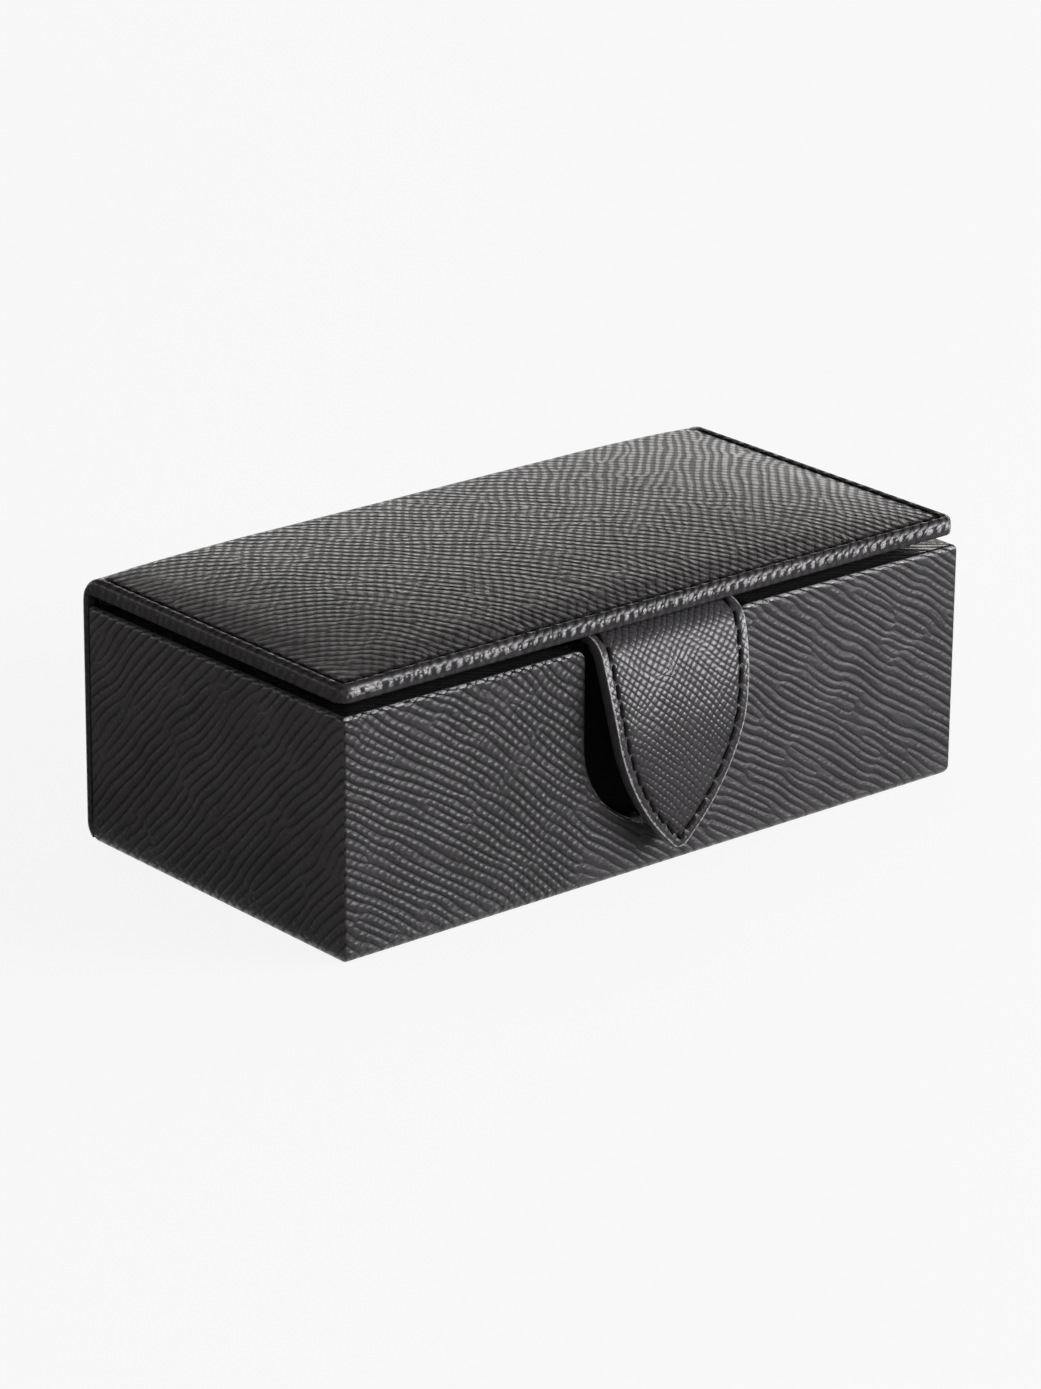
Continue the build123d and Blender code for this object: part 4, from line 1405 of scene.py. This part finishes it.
# %% Boards
greyboard, n, shader = new_material("greyboard")
where = n.own_place()
fibre = n.noise(n.vector("MULTIPLY", where, (0.3, 1, 1)), 0.7, 4.0, 0.65)
fleck = n.ramp(n.noise(where, 1.1, 2.0), 0.62, 0.7)
pulp = n.blend(fibre, (0.34, 0.27, 0.19, 1), (0.52, 0.43, 0.32, 1))
colour = n.blend(fleck, pulp, (0.2, 0.16, 0.12, 1))
n.dress(shader, colour, n.ramp(fibre, 0.2, 0.8, 0.82, 0.96), fibre, 0.06)
BOARDS = ("floor", "front_wall", "rear_wall", "left_wall", "right_wall", "lid")
for board in BOARDS:
    cover(board + "_board", greyboard)
print("boards:", len(BOARDS))

# %% Cloth
THREAD = 0.7  # mm from thread to thread
cloth_black, n, shader = new_material("bookcloth")
where = n.own_place()
threads = []
for k in (0, 1):
    turn = n.sum("MULTIPLY", n.part(where, k), 2 * pi / THREAD)
    other = n.sum("MULTIPLY", n.part(where, 1 - k), pi / THREAD)
    half = n.sum("SINE", n.sum("MULTIPLY", turn, 0.5))
    over = n.sum("MULTIPLY", n.sum("SINE", other), half)
    threads.append(n.sum("MULTIPLY_ADD", over, 0.35 if k else -0.35, n.sum("ABSOLUTE", half)))
weave = n.sum("MAXIMUM", *threads)
colour = n.blend(n.ramp(weave, 0.2, 1.2), (0.006, 0.006, 0.006, 1), (0.035, 0.034, 0.036, 1))
n.dress(shader, colour, n.ramp(weave, 0.2, 1.2, 0.95, 0.75), weave, 0.12)
rounded_copy("underside_cover", "underside_cloth", 0.2, cloth_black)
print("material:", cloth_black.name)

# %% [markdown]
# ## Light and floor
# Two soft windows light the box. The near one is in front and to the right, low enough to rake across the
# grain. The far one is long and low behind on the right, and lifts the far half of the lid. The surround
# is white to the camera and in reflections, and dim for the light that it sheds. Three dark cards, which
# only reflections see, hang over the near half of the lid and lie before the walls, and keep them deep.


# %% World
def backdrop_share(n):
    """1 for rays that should meet the white surround: those of the camera, of gloss and of glass."""
    rays = n.put("ShaderNodeLightPath").node
    seen = n.sum("MAXIMUM", rays.outputs["Is Camera Ray"], rays.outputs["Is Glossy Ray"])
    return n.sum("MAXIMUM", seen, rays.outputs["Is Transmission Ray"])


WHITE, WARM = (1, 1, 1, 1), (1, 0.965, 0.925, 1)
DIM = 0.34  # strength of the light that the surround sheds
world = bpy.data.worlds.new("studio")
scene.world = world
world.use_nodes = True
n = Nodes(world.node_tree)
dim = n.put("ShaderNodeBackground", {}, {"Color": WARM, "Strength": DIM})
white = n.tree.nodes["Background"]
white.inputs["Color"].default_value = WHITE
white.inputs["Strength"].default_value = 1.0
mixed = n.put("ShaderNodeMixShader", {}, {0: backdrop_share(n), 1: dim, 2: white.outputs[0]})
n.tree.links.new(mixed, n.tree.nodes["World Output"].inputs["Surface"])
print("surround:", DIM, "as bright for light as for the eye")


# %% Floor
def flat_stage(name, corners, finish):
    mesh = bpy.data.meshes.new(name)
    mesh.from_pydata(corners, [], [tuple(range(len(corners)))])
    mesh.materials.append(finish)
    thing = bpy.data.objects.new(name, mesh)
    scene.collection.objects.link(thing)
    return thing


ROOM = 6  # m from the box to each edge of the floor
FLOOR_Z = -0.02 * MM  # just under the cloth, so that the two faces don't share one plane
GLOW = 0.88  # share of white in what the camera sees of the floor; the rest takes the shadow
pale, n, shader = new_material("pale floor")
paper = n.put("ShaderNodeBsdfDiffuse", {}, {"Color": (0.82, 0.81, 0.82, 1)})
glow = n.put("ShaderNodeEmission", {}, {"Color": WHITE, "Strength": 1.0})
share = n.sum("MULTIPLY", backdrop_share(n), GLOW)
mixed = n.put("ShaderNodeMixShader", {}, {0: share, 1: paper, 2: glow})
n.tree.links.new(mixed, n.tree.nodes["Material Output"].inputs["Surface"])
n.tree.nodes.remove(shader)
square = ((-1, -1), (1, -1), (1, 1), (-1, 1))
flat_stage("floor", [(x * ROOM, y * ROOM, FLOOR_Z) for x, y in square], pale)
print("floor:", 2 * ROOM, "m across")

# %% Dark cards
CARD_UP, CARD_LOW, CARD_FAR = 0.17, 0.0004, 1.2  # m
NEAR_X, NEAR_Y = 0.0738, 0.0388  # the cards on the floor start this far from the middle of the box
dark_card, n, shader = new_material("dark card", 1.0)
shader.inputs["Base Color"].default_value = (0.2, 0.19, 0.18, 1)
shader.inputs["Specular IOR Level"].default_value = 0.0
away, aside, lifted = Vector((0.647, 0.762, 0)), Vector((0.762, -0.647, 0)), Vector((0, 0, CARD_UP))
above = ((-0.8, -0.6), (0.5, -0.6), (0.5, 0.6), (-0.8, 0.6))
in_front = ((-CARD_FAR, -CARD_FAR), (CARD_FAR, -CARD_FAR), (CARD_FAR, -NEAR_Y), (-CARD_FAR, -NEAR_Y))
beside = ((-CARD_FAR, -NEAR_Y), (-NEAR_X, -NEAR_Y), (-NEAR_X, CARD_FAR), (-CARD_FAR, CARD_FAR))
cards = {
    "card_above": [away * a + aside * b + lifted for a, b in above],
    "card_in_front": [(x, y, CARD_LOW) for x, y in in_front],
    "card_beside": [(x, y, CARD_LOW) for x, y in beside],
}
for name, corners in cards.items():
    card = flat_stage(name, corners, dark_card)
    card.visible_camera = card.visible_diffuse = False
    card.visible_shadow = card.visible_transmission = False
print("cards:", len(cards))

# %% Lamps
AIM = Vector((0, 0, 0.03))  # the lamps look at the middle of the box


def soft_lamp(name, way, distance, size, upright, power, colour):
    """A rectangle of light that faces the box from one direction, with its tall side along upright."""
    data = bpy.data.lights.new(name, "AREA")
    data.shape = "RECTANGLE"
    data.size, data.size_y = size
    data.energy, data.color = power, colour
    lamp = bpy.data.objects.new(name, data)
    facing = Vector(way).normalized()
    across = Vector(upright).cross(facing).normalized()
    turned = Matrix((across, facing.cross(across), facing)).transposed().to_4x4()
    lamp.matrix_world = Matrix.Translation(facing * distance + AIM) @ turned
    lamp.visible_camera = False
    scene.collection.objects.link(lamp)


near = {"way": (0.61, -0.74, 0.2), "distance": 1.2, "size": (0.7, 0.7), "upright": (0, 0.2, 0.98)}
far = {"way": (0.72, 0.66, 0.16), "distance": 1.4, "size": (1.4, 0.24), "upright": (0, 0, 1)}
soft_lamp("near window", **near, power=17.5, colour=(0.99, 0.97, 1.0))
soft_lamp("far window", **far, power=3.4, colour=(1.0, 0.98, 0.94))
